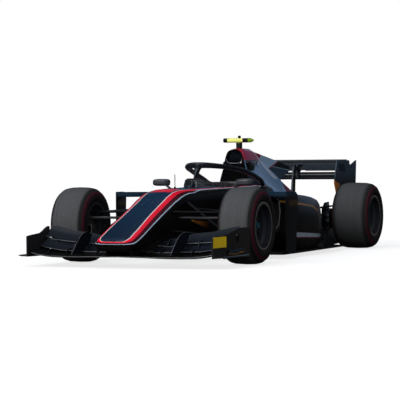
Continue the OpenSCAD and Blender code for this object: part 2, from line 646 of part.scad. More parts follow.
// Outline of a tyre from its tread's middle to its bead: parts of the half width, radius
function tyre_half(w) = let (r = tyre_d / 2, lip = rim_d / 2) [
    [0, r], [w * 0.58, r - 2], [w * 0.76, r - 10], [w * 0.89, r - 28], [w * 0.97, r - 58], [w, r - 92],
    [w * 0.95, lip + 8], [w * 0.878, lip + 1], [w * 0.878, bead_r], [w * 0.74, bead_r],
    [w * 0.8, r - 90], [w * 0.6, r - 22], [0, r - 18]];
bead_r = rim_d / 2 - 16;
module tyre(w) color("#1b1c1e") rotate_extrude($fn = 96) polygon(concat(
    [for (p = tyre_half(w / 2)) [p[1], p[0]]],
    [for (p = reversed(tyre_half(w / 2))) [p[1], -p[0]]]));

// Rim: barrel with two lips, twin spokes and a hub, its outer face towards +Z
rim_wall = 9;
well = 20;
hub_r = 52;
lip_t = 8;
function seat_w(w) = w * 0.44;
function rim_face(w, dish) = seat_w(w) + lip_t - dish;
module rim(w, dish) color("#23262b") {
    hw = seat_w(w) + fit;
    lip = rim_d / 2;
    seat_r = bead_r - fit;
    inner = bead_r - rim_wall - 2;
    deep = bead_r - well;
    face = rim_face(w, dish);
    difference() {
        union() {
            rotate_extrude($fn = 96) polygon([
                [inner, -hw - lip_t], [lip, -hw - lip_t], [lip, -hw], [seat_r, -hw], [seat_r, -hw + 40], [deep, -hw + 58],
                [deep, hw - 58], [seat_r, hw - 40], [seat_r, hw], [lip, hw], [lip, hw + lip_t], [inner, hw + lip_t],
                [inner, hw - 36], [deep - rim_wall, hw - 60], [deep - rim_wall, -hw + 60], [inner, -hw + 36]]);
            translate([0, 0, face - 34]) cylinder(r = hub_r, h = 34);
            for (k = [0:spoke_count - 1], side = [-1, 1]) rotate([0, 0, 360 * k / spoke_count])
                translate([0, 0, face - 24]) linear_extrude(20) polygon([
                    [hub_r - 8, side * 3], [hub_r - 8, side * 13], [deep - 5, side * 25], [deep - 5, side * 15]]);
        }
        translate([0, 0, face - 60]) cylinder(r = axle_r + fit, h = 100);
    }
}

// Hub: nut, journal, brake disc and inner cap on one axis, with a shaft on the driven wheels
disc_t = 28;
disc_back = 96;
housing_l = 60;
cap_r = 40;
shaft_r = 18;
function disc_face(w, dish) = rim_face(w, dish) - disc_back;
module hub(w, dish, shaft) color("#7c7f85") {
    face = rim_face(w, dish);
    back = disc_face(w, dish);
    cap = back - 6 - housing_l - 0.5;
    translate([0, 0, face + fit]) cylinder(r = cap_r, h = 24, $fn = 6);
    translate([0, 0, face + 20]) cylinder(r = 26, h = 22);
    translate([0, 0, cap]) cylinder(r = axle_r, h = face + 10 - cap);
    translate([0, 0, back]) cylinder(r = disc_d / 2, h = disc_t);
    translate([0, 0, cap - 10]) cylinder(r = cap_r, h = 10);
    if (shaft > 0) translate([0, 0, cap - 10 - shaft]) cylinder(r = shaft_r, h = shaft + 1);
}
rear_shaft = rear_y + disc_face(rear_tyre_w, rear_dish) - 6 - housing_l - 10.5 - 62;

module tyre_fl() car() on_axle(x_f, front_y) tyre(front_tyre_w);
module tyre_fr() car() mirror([0, 1, 0]) on_axle(x_f, front_y) tyre(front_tyre_w);
module tyre_rl() car() on_axle(x_r, rear_y) tyre(rear_tyre_w);
module tyre_rr() car() mirror([0, 1, 0]) on_axle(x_r, rear_y) tyre(rear_tyre_w);
module rim_fl() car() on_axle(x_f, front_y) rim(front_tyre_w, front_dish);
module rim_fr() car() mirror([0, 1, 0]) on_axle(x_f, front_y) rim(front_tyre_w, front_dish);
module rim_rl() car() on_axle(x_r, rear_y) rim(rear_tyre_w, rear_dish);
module rim_rr() car() mirror([0, 1, 0]) on_axle(x_r, rear_y) rim(rear_tyre_w, rear_dish);
module hub_fl() car() on_axle(x_f, front_y) hub(front_tyre_w, front_dish, 0);
module hub_fr() car() mirror([0, 1, 0]) on_axle(x_f, front_y) hub(front_tyre_w, front_dish, 0);
module hub_rl() car() on_axle(x_r, rear_y) hub(rear_tyre_w, rear_dish, rear_shaft);
module hub_rr() car() mirror([0, 1, 0]) on_axle(x_r, rear_y) hub(rear_tyre_w, rear_dish, rear_shaft);

// Uprights: a housing round the journal and two ears with pins for the arms

rear_offset = 165;
rear_pin_y = rear_y - rear_offset;
eye_h = 20;
ear_half_t = 20;
ear_z = joint_h - eye_h / 2 - eye_gap;
module upright(back, offset) color("#5a5d62") difference() {
    union() {
        rotate([-90, 0, 0]) translate([0, 0, back - 6 - housing_l]) cylinder(r = 52, h = housing_l);
        rotate([90, 0, 90]) linear_extrude(2 * ear_half_t, center = true) polygon([
            [18 - offset, ear_z], [back - 16, 50], [back - 16, -50], [18 - offset, -ear_z],
            [-18 - offset, -ear_z], [back - 5 - housing_l, -62], [back - 5 - housing_l, 62], [-18 - offset, ear_z]]);
        for (side = [-1, 1]) translate([0, -offset, 0]) mirror([0, 0, side > 0 ? 0 : 1]) {
            translate([0, 0, ear_z - 5]) cylinder(r = pin_r, h = eye_h + 2 * eye_gap + 8);
            translate([0, 0, ear_z + eye_h + 2 * eye_gap]) cylinder(r = 15, h = 7);
        }
    }
    rotate([-90, 0, 0]) translate([0, 0, back - 200]) cylinder(r = axle_r + fit, h = 300);
}

// Steering arm with its pin, and a duct that feeds air to the brake
arm_z = 48;
arm_t = 14;
rod_r = 11;
rod_pin_r = 8;
rod_z = arm_z + arm_t / 2 + eye_gap + 9;
duct_x = [62, 150];
duct_z = [-70, 8];
duct_y = [-178, -116];
module front_upright() color("#5a5d62") {
    upright(disc_face(front_tyre_w, front_dish), steer_offset);
    translate([0, -steer_offset, arm_z - arm_t / 2]) {
        linear_extrude(arm_t) polygon([[10, 4], [10, 30], [steer_arm + 14, 14], [steer_arm + 14, -14]]);
        translate([steer_arm, 0, arm_t - 1]) cylinder(r = rod_pin_r, h = 24);
    }
    difference() {
        union() {
            translate([duct_x[0], duct_y[0], duct_z[0]])
                cube([duct_x[1] - duct_x[0], duct_y[1] - duct_y[0], duct_z[1] - duct_z[0]]);
            translate([46, duct_y[1] - 1, -20]) cube([24, 30, 26]);
        }
        translate([duct_x[0] + 12, duct_y[0] + 4, duct_z[0] + 4])
            cube([duct_x[1] - duct_x[0], duct_y[1] - duct_y[0] - 8, duct_z[1] - duct_z[0] - 8]);
    }
}
module upright_fl() car() translate([x_f, front_y, axle_z]) front_upright();
module upright_fr() car() mirror([0, 1, 0]) translate([x_f, front_y, axle_z]) front_upright();
module rear_uprights() car() both_sides() translate([x_r, rear_y, axle_z])
    upright(disc_face(rear_tyre_w, rear_dish), rear_offset);

// Suspension arms: slim legs from an eye on each pin to pockets in the body

// Height of the eye, inner end of the front leg, inner end of the rear leg
front_arms = [
    [axle_z + joint_h, [215, 186, 452], [-230, 216, 470]],
    [axle_z - joint_h, [200, 160, 292], [-330, 190, 262]]
];
rear_arms = [
    [axle_z + joint_h, [x_r + 300, 116, 372], [x_r - 118, 92, 372]],
    [axle_z - joint_h, [x_r + 300, 116, 214], [x_r - 118, 92, 290]]
];
// Foot on the lower arm and inner end of the pushrods
front_push = [[-14, steer_y - 52, axle_z - joint_h + 4], [-60, 188, 548]];
rear_push = [[x_r + 30, rear_pin_y - 52, axle_z - joint_h + 4], [x_r + 90, 112, 374]];
leg_chord = 54;
leg_t = 17;
eye_r = 22;

module leg(a, b, grow = 0) {
    d = (b - a) / norm(b - a);
    flat = [1, 0, 0] - d[0] * d;
    u = flat / norm(flat);
    v = cross(d, u);
    multmatrix([[u[0], v[0], d[0], a[0]], [u[1], v[1], d[1], a[1]], [u[2], v[2], d[2], a[2]], [0, 0, 0, 1]])
        linear_extrude(norm(b - a)) polygon([for (k = [0:11])
            [(leg_chord / 2 + grow) * cos(30 * k), (leg_t / 2 + grow) * sin(30 * k)]]);
}
module arm(eye, inner) difference() {
    union() {
        translate(eye) cylinder(r = eye_r, h = eye_h, center = true);
        for (k = [1, 2]) leg(eye, inner[k]);
        children();
    }
    translate(eye) cylinder(r = pin_r + fit, h = 60, center = true);
    translate(eye + [0, 0, eye_h / 2]) cylinder(r = eye_r + 2, h = 30);
    translate(eye - [0, 0, eye_h / 2 + 30]) cylinder(r = eye_r + 2, h = 30);
}
module arm_set(arms, pin, push) color("#1d1e21") {
    arm([pin[0], pin[1], arms[0][0]], arms[0]);
    arm([pin[0], pin[1], arms[1][0]], arms[1]) leg(push[0], push[1]);
}
module pocket(a, b) let (d = (b - a) / norm(b - a)) leg(b - d * 150, b + d * 0.5, 0.5);
module arm_pockets(arms, pin, push) {
    for (row = arms, k = [1, 2]) pocket([pin[0], pin[1], row[0]], row[k]);
    pocket(push[0], push[1]);
}
module front_suspension() car() both_sides() arm_set(front_arms, [0, steer_y], front_push);
module rear_suspension() car() both_sides() arm_set(rear_arms, [x_r, rear_pin_y], rear_push);

// Steering rack with both track rods, whose eyes leave room for the arms' arcs
rod_eye_r = 25;
rod_play = 6.5;
module track_rods() color("#2a2b2e") car() translate([steer_arm, 0, axle_z + rod_z]) difference() {
    union() {
        rotate([90, 0, 0]) cylinder(r = rod_r, h = 2 * steer_y - 2 * rod_eye_r + 8, center = true);
        both_sides() translate([0, steer_y, 0]) cylinder(r = rod_eye_r, h = 18, center = true);
    }
    both_sides() translate([0, steer_y, 0]) cylinder(r = rod_pin_r + rod_play, h = 40, center = true);
}

// Steering wheel on a column that ends in the bulkhead ahead of the pedals
column_tilt = 13;
column_l = 590;
column_r = 13;
wheel_place = [-905, 0, 556];
module column_line() translate(wheel_place) rotate([0, 90 + column_tilt, 0]) children();
module steering_wheel() color("#1a1b1d") car() column_line() {
    cylinder(r = column_r, h = column_l);
    translate([0, 0, -30]) linear_extrude(30) difference() {
        hull() for (x = [-58, 58], y = [-112, 112]) translate([x, y]) circle(r = 24, $fn = 24);
        for (side = [-1, 1]) hull() for (x = [-42, 42]) translate([x, side * 86]) circle(r = 17, $fn = 24);
    }
}

// Mirrors, antenna and camera

// Stations of a mirror's shell: x, size as a part of the rear face
mirror_shell = [[44, 0.42], [38, 0.66], [22, 0.86], [0, 0.97], [-26, 1]];
mirror_w = 168;
mirror_h = 66;
mirror_at = [-896, 411, 690];
function mirror_ring(x, s) = [for (k = [0:19]) let (a = 18 * (k + 0.5) - 90, c = cos(a), n = sin(a))
    [x, sign(c) * pow(abs(c), 0.5) * mirror_w / 2 * s, sign(n) * pow(abs(n), 0.5) * mirror_h / 2 * s]];
module mirrors() color("#14161a") car() both_sides() moulded() union() {
    translate(mirror_at) loft([for (m = mirror_shell) mirror_ring(m[0], m[1])]);
    difference() {
        leg(mirror_at + [8, -34, -8], mirror_at + [-4, -165, -110]);
        cell_skin(-500, -1300, -0.3);
    }
}
module mirror_glasses() color("#b9c3cc") car() both_sides() translate(mirror_at + [-29.5, 0, 0])
    loft([for (x = [3, 0]) mirror_ring(x, 0.9)]);

antenna_x = -277;
module antenna() color("#202225") car() translate([antenna_x, 0, at(cell, 4, antenna_x) + crown + 0.3]) {
    cylinder(r = 9, h = 14);
    cylinder(r = 3.5, h = 122);
}

camera_x = -1816;
camera_half_w = 146;
camera_tip = 40;
camera_z = 1081;
camera_side = [[44, -7], [38, -17], [20, -21], [-40, -21], [-46, -15], [-46, 15], [-40, 21], [20, 21], [38, 17], [44, 7]];
module roll_hoop_camera() color("#d9c524") car() translate([camera_x, 0, 0]) {
    translate([0, camera_half_w - camera_tip, camera_z]) rotate([90, 0, 0])
        linear_extrude(2 * camera_half_w - camera_tip) polygon(camera_side);
    translate([0, camera_half_w - camera_tip, camera_z]) rotate([-90, 0, 0])
        linear_extrude(camera_tip, scale = 0.3) mirror([0, 1, 0]) polygon(camera_side);
    translate([-34, -20, cover[1][1] + 0.2]) cube([60, 40, 60]);
    translate([-10, 0, 1100]) cylinder(r = 14, h = 26);
}

nose();
monocoque();
headrest();
seat();
halo();
engine_cover();
engine();
sidepods();
radiators();
sidepod_vanes();
floor_panel();  // floor
plank();
diffuser();
gearbox();
rear_crash_structure();
rain_light();
exhaust();
front_wing_main();
front_wing_flaps();
front_wing_endplates();
front_wing_pylons();
rear_wing_main();
rear_wing_flap();
rear_wing_endplates();
rear_wing_pylon();
front_suspension();
rear_suspension();
rear_uprights();
mirrors();
mirror_glasses();
antenna();
roll_hoop_camera();
steering_wheel();
track_rods();
upright_fl();
upright_fr();
tyre_fl();
tyre_fr();
tyre_rl();
tyre_rr();
rim_fl();
rim_fr();
rim_rl();
rim_rr();
hub_fl();
hub_fr();
hub_rl();
hub_rr();
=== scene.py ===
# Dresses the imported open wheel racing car: painted skins, tyres, cockpit fittings, camera and light.
import json
import math
import bpy
from mathutils import Euler, Matrix, Vector


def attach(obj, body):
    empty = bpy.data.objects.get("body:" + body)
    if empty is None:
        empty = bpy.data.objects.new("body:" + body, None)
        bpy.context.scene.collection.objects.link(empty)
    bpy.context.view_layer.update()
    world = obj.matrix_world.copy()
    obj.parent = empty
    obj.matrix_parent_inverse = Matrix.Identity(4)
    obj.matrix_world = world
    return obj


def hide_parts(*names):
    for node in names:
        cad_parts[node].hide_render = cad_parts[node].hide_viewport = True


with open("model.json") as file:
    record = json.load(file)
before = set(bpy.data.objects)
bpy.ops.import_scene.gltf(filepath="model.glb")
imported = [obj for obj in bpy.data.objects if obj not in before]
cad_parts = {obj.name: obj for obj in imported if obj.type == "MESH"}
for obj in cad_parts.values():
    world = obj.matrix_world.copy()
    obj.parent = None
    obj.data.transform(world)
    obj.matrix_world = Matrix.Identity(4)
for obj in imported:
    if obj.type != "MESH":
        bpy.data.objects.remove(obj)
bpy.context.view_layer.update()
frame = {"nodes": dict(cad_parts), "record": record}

nodes = frame["nodes"]
body_of_node = {n: b for b, names in frame["record"]["behaviour"]["bodies"].items() for n in names}
scene = bpy.context.scene

# Stations are counted in millimetres from the front axle, as the part's drawing does
AXLE_TO_MIDDLE = 1507.5
REAR = -3135.0
AXLE_Z = 330.0
FRONT_TRACK = 785.0
REAR_TRACK = 760.0
SIDES = ((1, "left"), (-1, "right"))


def row_x(x):
    """A station as metres along the frame."""
    return (x + AXLE_TO_MIDDLE) / 1000


def place(x, y, z):
    """A station, side and height in millimetres as a point in metres."""
    return Vector((row_x(x), y / 1000, z / 1000))


# Outline of the survival cell: station, half widths of panel and shoulder, heights of panel and shoulder
CELL = [
    (1005, 95, 112, 226, 202), (990, 132, 158, 238, 203), (945, 147, 188, 258, 214),
    (800, 147, 198, 318, 271), (560, 134, 198, 415, 367), (260, 129, 200, 531, 482),
    (40, 130, 214, 611, 560), (-140, 142, 228, 632, 580), (-420, 172, 252, 636, 588),
    (-690, 212, 276, 640, 596), (-1000, 238, 296, 644, 602), (-1600, 246, 300, 654, 606),
    (-1960, 240, 300, 648, 600)]
PANEL_HALF = 1
SHOULDER_HALF = 2
PANEL_TOP = 3
SHOULDER_TOP = 4


def along_cell(column, x):
    """A column of the cell's table at a station, on the same smooth curve that the solid follows."""
    rows = CELL
    i = 0
    while i < len(rows) - 2 and x < rows[i + 1][0]:
        i += 1

    def rise(k):
        return (rows[k + 1][column] - rows[k][column]) / (rows[k + 1][0] - rows[k][0])

    def slope(k):
        if k == 0:
            return rise(0)
        if k == len(rows) - 1:
            return rise(k - 1)
        a = rise(k - 1)
        b = rise(k)
        return 0.0 if a * b <= 0 else 2 * a * b / (a + b)

    h = rows[i + 1][0] - rows[i][0]
    t = (x - rows[i][0]) / h
    p = rows[i][column]
    q = rows[i + 1][column]
    m = slope(i) * h
    n = slope(i + 1) * h
    return p + t * m + t * t * (3 * (q - p) - 2 * m - n) + t ** 3 * (2 * (p - q) + m + n)


# Modelling by hand

# How near points lie that are merged: ends of a profile, triangles of a solid, seams of a piece, joined lines
PROFILE_MERGE = 0.00001
SOLID_MERGE = 0.00002
SEAM_MERGE = 0.00005
LINE_MERGE = 0.001
# Corners that turn by more degrees than this stay hard when shaded, and are rounded by a bevel
SHARP = 35
# The same for tubes and rolled edges
ROUND = 60


def clear():
    if bpy.context.object and bpy.context.object.mode != "OBJECT":
        bpy.ops.object.mode_set(mode="OBJECT")
    bpy.ops.object.select_all(action="DESELECT")


def take(obj):
    clear()
    obj.select_set(True)
    bpy.context.view_layer.objects.active = obj


def edit(obj, kind="FACE"):
    take(obj)
    bpy.ops.object.mode_set(mode="EDIT")
    bpy.ops.mesh.select_mode(type=kind)


def edit_all(obj, kind="FACE"):
    edit(obj, kind)
    bpy.ops.mesh.select_all(action="SELECT")


def leave():
    bpy.ops.object.mode_set(mode="OBJECT")


def pick(obj, test):
    """Selects the faces whose middle and normal pass a test, and stays in edit mode."""
    edit(obj)
    bpy.ops.mesh.select_all(action="DESELECT")
    leave()
    for face in obj.data.polygons:
        face.select = bool(test(face.center, face.normal))
    bpy.ops.object.mode_set(mode="EDIT")


def apply_modifier(obj, kind, **values):
    take(obj)
    made = obj.modifiers.new(kind.lower(), kind)
    for key, value in values.items():
        setattr(made, key, value)
    bpy.ops.object.modifier_apply(modifier=made.name)


def soften(obj, width, segments=2):
    apply_modifier(obj, "BEVEL", width=width / 1000, segments=segments, limit_method="ANGLE",
                   angle_limit=math.radians(SHARP), harden_normals=False)


def settle(obj, name, body, material, angle=SHARP):
    """Applies a piece's place, shades it, paints it and puts it on its body."""
    take(obj)
    bpy.ops.object.transform_apply(location=True, rotation=True, scale=True)
    obj.name = name
    obj.data.name = name
    bpy.ops.object.shade_smooth_by_angle(angle=math.radians(angle))
    obj.data.materials.clear()
    obj.data.materials.append(material)
    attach(obj, body)
    return obj


def outward(obj):
    """Closes a piece's seams and turns its faces outwards."""
    edit_all(obj)
    bpy.ops.mesh.remove_doubles(threshold=SEAM_MERGE)
    bpy.ops.mesh.normals_make_consistent(inside=False)
    leave()


def trace(points):
    """A line of edges drawn point by point."""
    clear()
    bpy.ops.mesh.primitive_plane_add(size=0.01, location=points[0])
    obj = bpy.context.object
    bpy.ops.object.transform_apply(location=True, rotation=True, scale=True)
    edit_all(obj, "VERT")
    bpy.ops.mesh.merge(type="CENTER")
    last = Vector(points[0])
    for point in points[1:]:
        bpy.ops.mesh.extrude_region_move(TRANSFORM_OT_translate={"value": Vector(point) - last})
        last = Vector(point)
    return obj


def turned(profile, centre, axis, steps, angle=math.tau):
    """A closed profile spun round an axis into a solid ring or an arc with ends."""
    obj = trace(list(profile) + [profile[0]])
    bpy.ops.mesh.select_all(action="SELECT")
    bpy.ops.mesh.remove_doubles(threshold=PROFILE_MERGE)
    if angle < math.tau - 0.01:
        bpy.ops.mesh.edge_face_add()
    bpy.ops.mesh.spin(steps=steps, angle=angle, center=centre, axis=axis)
    leave()
    outward(obj)
    return obj


def plate(outline, thick):
    """A flat outline given a thickness along a vector."""
    obj = trace(outline)
    bpy.ops.mesh.select_all(action="SELECT")
    bpy.ops.mesh.edge_face_add()
    bpy.ops.mesh.extrude_region_move(TRANSFORM_OT_translate={"value": thick})
    leave()
    outward(obj)
    return obj


def tube(points, radius, rounds=2):
    """A round rod along a line."""
    obj = trace(points)
    leave()
    take(obj)
    bpy.ops.object.convert(target="CURVE")
    obj = bpy.context.object
    obj.data.bevel_depth = radius / 1000
    obj.data.bevel_resolution = rounds
    obj.data.use_fill_caps = True
    bpy.ops.object.convert(target="MESH")
    obj = bpy.context.object
    outward(obj)
    return obj


def strap(points, across, thick=3.0, smooth=2):
    """Flat webbing: a traced line drawn sideways, thickened and smoothed."""
    obj = trace(points)
    bpy.ops.mesh.select_all(action="SELECT")
    bpy.ops.mesh.extrude_region_move(TRANSFORM_OT_translate={"value": across})
    leave()
    apply_modifier(obj, "SUBSURF", levels=smooth, render_levels=smooth)
    apply_modifier(obj, "SOLIDIFY", thickness=thick / 1000, offset=0)
    outward(obj)
    return obj


def block(middle, size, round_mm=4.0, segments=3):
    clear()
    bpy.ops.mesh.primitive_cube_add(size=1, location=middle)
    obj = bpy.context.object
    obj.scale = [s / 1000 for s in size]
    bpy.ops.object.transform_apply(location=True, rotation=True, scale=True)
    soften(obj, round_mm, segments)
    return obj


def join(pieces):
    clear()
    for piece in pieces:
        piece.select_set(True)
    bpy.context.view_layer.objects.active = pieces[0]
    bpy.ops.object.join()
    return bpy.context.object


def mirrored(obj):
    """A copy on the car's other side, with its own mesh."""
    take(obj)
    bpy.ops.object.duplicate()
    copy = bpy.context.object
    edit_all(copy)
    bpy.ops.transform.mirror(orient_type="GLOBAL", constraint_axis=(False, True, False),
                             center_override=(0, 0, 0))
    bpy.ops.mesh.flip_normals()
    leave()
    return copy


# Shader helpers

def wire(tree, kind, inputs=None, **props):
    made = tree.nodes.new(kind)
    for key, value in props.items():
        setattr(made, key, value)
    for key, value in (inputs or {}).items():
        socket = made.inputs[key]
        if isinstance(value, bpy.types.NodeSocket):
            tree.links.new(value, socket)
        else:
            socket.default_value = value
    return made


def calc(tree, operation, a, b=0.0, c=0.0, clamp=False):
    made = wire(tree, "ShaderNodeMath", {0: a, 1: b, 2: c}, operation=operation, use_clamp=clamp)
    return made.outputs[0]


def ease(tree, value, low, high):
    """0 below low, 1 above high, smooth between; low may be the greater one."""
    made = wire(tree, "ShaderNodeMapRange", {0: value, 1: min(low, high), 2: max(low, high),
                                            3: 0.0 if low < high else 1.0, 4: 1.0 if low < high else 0.0},
                interpolation_type="SMOOTHSTEP")
    return made.outputs[0]


def past(tree, x, first, last):
    """Like ease, between two stations in millimetres."""
    return ease(tree, x, row_x(first), row_x(last))


def between(tree, value, low, high, soft):
    return calc(tree, "MULTIPLY", ease(tree, value, low - soft, low + soft),
                ease(tree, value, high + soft, high - soft))


def both(tree, *masks):
    out = masks[0]
    for mask in masks[1:]:
        out = calc(tree, "MULTIPLY", out, mask)
    return out


def blend(tree, factor, a, b):
    made = wire(tree, "ShaderNodeMix", {0: factor}, data_type="RGBA")
    for index, value in ((6, a), (7, b)):
        if isinstance(value, bpy.types.NodeSocket):
            tree.links.new(value, made.inputs[index])
        else:
            made.inputs[index].default_value = (*value, 1)
    return made.outputs[2]


def coats(tree, paint, *layers):
    """Colours laid over each other, each through its own mask."""
    for mask, colour in layers:
        paint = blend(tree, mask, paint, colour)
    return paint


def scaled(colour, by):
    return [min(1, part * by) for part in colour]


def spot(tree):
    """Object coordinates as three numbers, in metres in the car's frame."""
    where = wire(tree, "ShaderNodeTexCoord")
    split = wire(tree, "ShaderNodeSeparateXYZ", {0: where.outputs["Object"]})
    return split.outputs[0], split.outputs[1], split.outputs[2]


def looks(tree):
    """Which way a surface looks, as three numbers: ahead, away from the car's middle plane, and up."""
    where = wire(tree, "ShaderNodeTexCoord")
    y = wire(tree, "ShaderNodeSeparateXYZ", {0: where.outputs["Object"]}).outputs[1]
    way = wire(tree, "ShaderNodeSeparateXYZ", {0: where.outputs["Normal"]})
    away = calc(tree, "MULTIPLY", way.outputs[1], calc(tree, "SIGN", y))
    return way.outputs[0], away, way.outputs[2]


def noise(tree, scale, detail=3.0, rough=0.55):
    where = wire(tree, "ShaderNodeTexCoord")
    made = wire(tree, "ShaderNodeTexNoise", {"Vector": where.outputs["Object"], "Scale": scale,
                                            "Detail": detail, "Roughness": rough})
    return made.outputs["Fac"]


def side_of(tree, x, z, a, b, soft=0.004):
    """1 on the left of the line from a to b, which are stations and heights in millimetres."""
    ax = row_x(a[0])
    az = a[1] / 1000
    dx = row_x(b[0]) - ax
    dz = b[1] / 1000 - az
    length = math.hypot(dx, dz)
    across = calc(tree, "SUBTRACT", calc(tree, "MULTIPLY", calc(tree, "SUBTRACT", z, az), dx / length),
                  calc(tree, "MULTIPLY", calc(tree, "SUBTRACT", x, ax), dz / length))
    return ease(tree, across, -soft, soft)


def from_axle(tree, x, z, axle_x):
    """How far a point lies from the axle of a wheel, seen from the side."""
    dx = calc(tree, "SUBTRACT", x, row_x(axle_x))
    dz = calc(tree, "SUBTRACT", z, AXLE_Z / 1000)
    squares = calc(tree, "ADD", calc(tree, "MULTIPLY", dx, dx), calc(tree, "MULTIPLY", dz, dz))
    return calc(tree, "SQRT", squares)


def curve_of(tree, x, column):
    """A column of the cell's table as a curve over the station."""
    low = row_x(CELL[-1][0])
    high = row_x(CELL[0][0])
    share = calc(tree, "DIVIDE", calc(tree, "SUBTRACT", x, low), high - low, clamp=True)
    made = wire(tree, "ShaderNodeFloatCurve", {"Value": share})
    line = made.mapping.curves[0]
    between_rows = {-1300, -850, -560, -280, -50, 150, 350, 450, 680, 740, 880, 960, 970, 980, 995, 999, 1002}
    stops = sorted({row[0] for row in CELL} | between_rows)
    while len(line.points) < len(stops):
        line.points.new(0.5, 0.5)
    for point, x_mm in zip(line.points, stops):
        point.location = ((row_x(x_mm) - low) / (high - low), along_cell(column, x_mm) / 1000)
        point.handle_type = "VECTOR"
    made.mapping.update()
    return made.outputs[0]


# Effects that several finishes share

def new_group(name, inputs, outputs):
    group = bpy.data.node_groups.new(name, "ShaderNodeTree")
    for key, default in inputs:
        group.interface.new_socket(key, in_out="INPUT", socket_type="NodeSocketFloat").default_value = default
    for key, kind in outputs:
        group.interface.new_socket(key, in_out="OUTPUT", socket_type=kind)
    return group, group.nodes.new("NodeGroupInput"), group.nodes.new("NodeGroupOutput")


def make_twill():
    """Two by two twill of carbon tows, laid flat on whichever way a surface faces."""
    group, given, out = new_group("carbon_twill", [("Tow", 2.4)],
                                  [("Over", "NodeSocketFloat"), ("Height", "NodeSocketFloat")])
    where = wire(group, "ShaderNodeTexCoord")
    p = wire(group, "ShaderNodeSeparateXYZ", {0: where.outputs["Object"]})
    n = wire(group, "ShaderNodeSeparateXYZ", {0: where.outputs["Normal"]})
    nx = calc(group, "ABSOLUTE", n.outputs[0])
    ny = calc(group, "ABSOLUTE", n.outputs[1])
    nz = calc(group, "ABSOLUTE", n.outputs[2])
    ends = calc(group, "GREATER_THAN", nx, calc(group, "MAXIMUM", ny, nz))
    flat = calc(group, "GREATER_THAN", nz, ny)
    u = wire(group, "ShaderNodeMix", {0: ends, 2: p.outputs[0], 3: p.outputs[1]}).outputs[0]
    side = wire(group, "ShaderNodeMix", {0: flat, 2: p.outputs[2], 3: p.outputs[1]}).outputs[0]
    v = wire(group, "ShaderNodeMix", {0: ends, 2: side, 3: p.outputs[2]}).outputs[0]
    per = calc(group, "DIVIDE", 1000.0, given.outputs["Tow"])
    a = calc(group, "MULTIPLY", calc(group, "ADD", u, v), per)
    b = calc(group, "MULTIPLY", calc(group, "SUBTRACT", u, v), per)
    step = calc(group, "ADD", calc(group, "FLOOR", a), calc(group, "FLOOR", b))
    over = calc(group, "LESS_THAN", calc(group, "FLOORED_MODULO", step, 4.0), 1.5)
    bow_a = calc(group, "SINE", calc(group, "MULTIPLY", calc(group, "FRACT", a), math.pi))
    bow_b = calc(group, "SINE", calc(group, "MULTIPLY", calc(group, "FRACT", b), math.pi))
    height = wire(group, "ShaderNodeMix", {0: over, 2: bow_a, 3: bow_b}).outputs[0]
    group.links.new(over, out.inputs["Over"])
    group.links.new(height, out.inputs["Height"])
    return group


def make_road_film():
    """Rubber dust and grit, thicker low down."""
    group, given, out = new_group("road_film", [("Amount", 0.3), ("Top", 0.5)], [("Mask", "NodeSocketFloat")])
    x, y, z = spot(group)
    low = calc(group, "SUBTRACT", 1.0, calc(group, "DIVIDE", z, given.outputs["Top"]), clamp=True)
    cloud = ease(group, noise(group, 9.0, 5.0, 0.65), 0.3, 0.75)
    specks = ease(group, noise(group, 160.0, 2.0), 0.62, 0.72)
    mask = calc(group, "ADD", calc(group, "MULTIPLY", low, calc(group, "ADD", 0.35, cloud)),
                calc(group, "MULTIPLY", specks, 0.25))
    group.links.new(calc(group, "MULTIPLY", mask, given.outputs["Amount"], clamp=True), out.inputs["Mask"])
    return group


def make_handling():
    """Fine scratches, wipe marks and small chips that break up a gloss."""
    group, given, out = new_group("handling_marks", [("Base", 0.35), ("Spread", 0.1)],
                                  [("Rough", "NodeSocketFloat"), ("Chips", "NodeSocketFloat"),
                                   ("Shade", "NodeSocketFloat")])
    wipes = noise(group, 5.0, 6.0, 0.7)
    fine = noise(group, 60.0, 4.0, 0.6)
    both_marks = calc(group, "ADD", calc(group, "MULTIPLY", wipes, 0.6), calc(group, "MULTIPLY", fine, 0.4))
    swing = calc(group, "MULTIPLY", calc(group, "SUBTRACT", both_marks, 0.5), given.outputs["Spread"])
    rough = calc(group, "ADD", given.outputs["Base"], calc(group, "MULTIPLY", swing, 2.0), clamp=True)
    chips = ease(group, noise(group, 240.0, 1.0), 0.73, 0.76)
    shade = calc(group, "ADD", 0.9, calc(group, "MULTIPLY", both_marks, 0.2))
    group.links.new(rough, out.inputs["Rough"])
    group.links.new(chips, out.inputs["Chips"])
    group.links.new(shade, out.inputs["Shade"])
    return group


TWILL = make_twill()
FILM = make_road_film()
MARKS = make_handling()
DUST = (0.014, 0.013, 0.012)


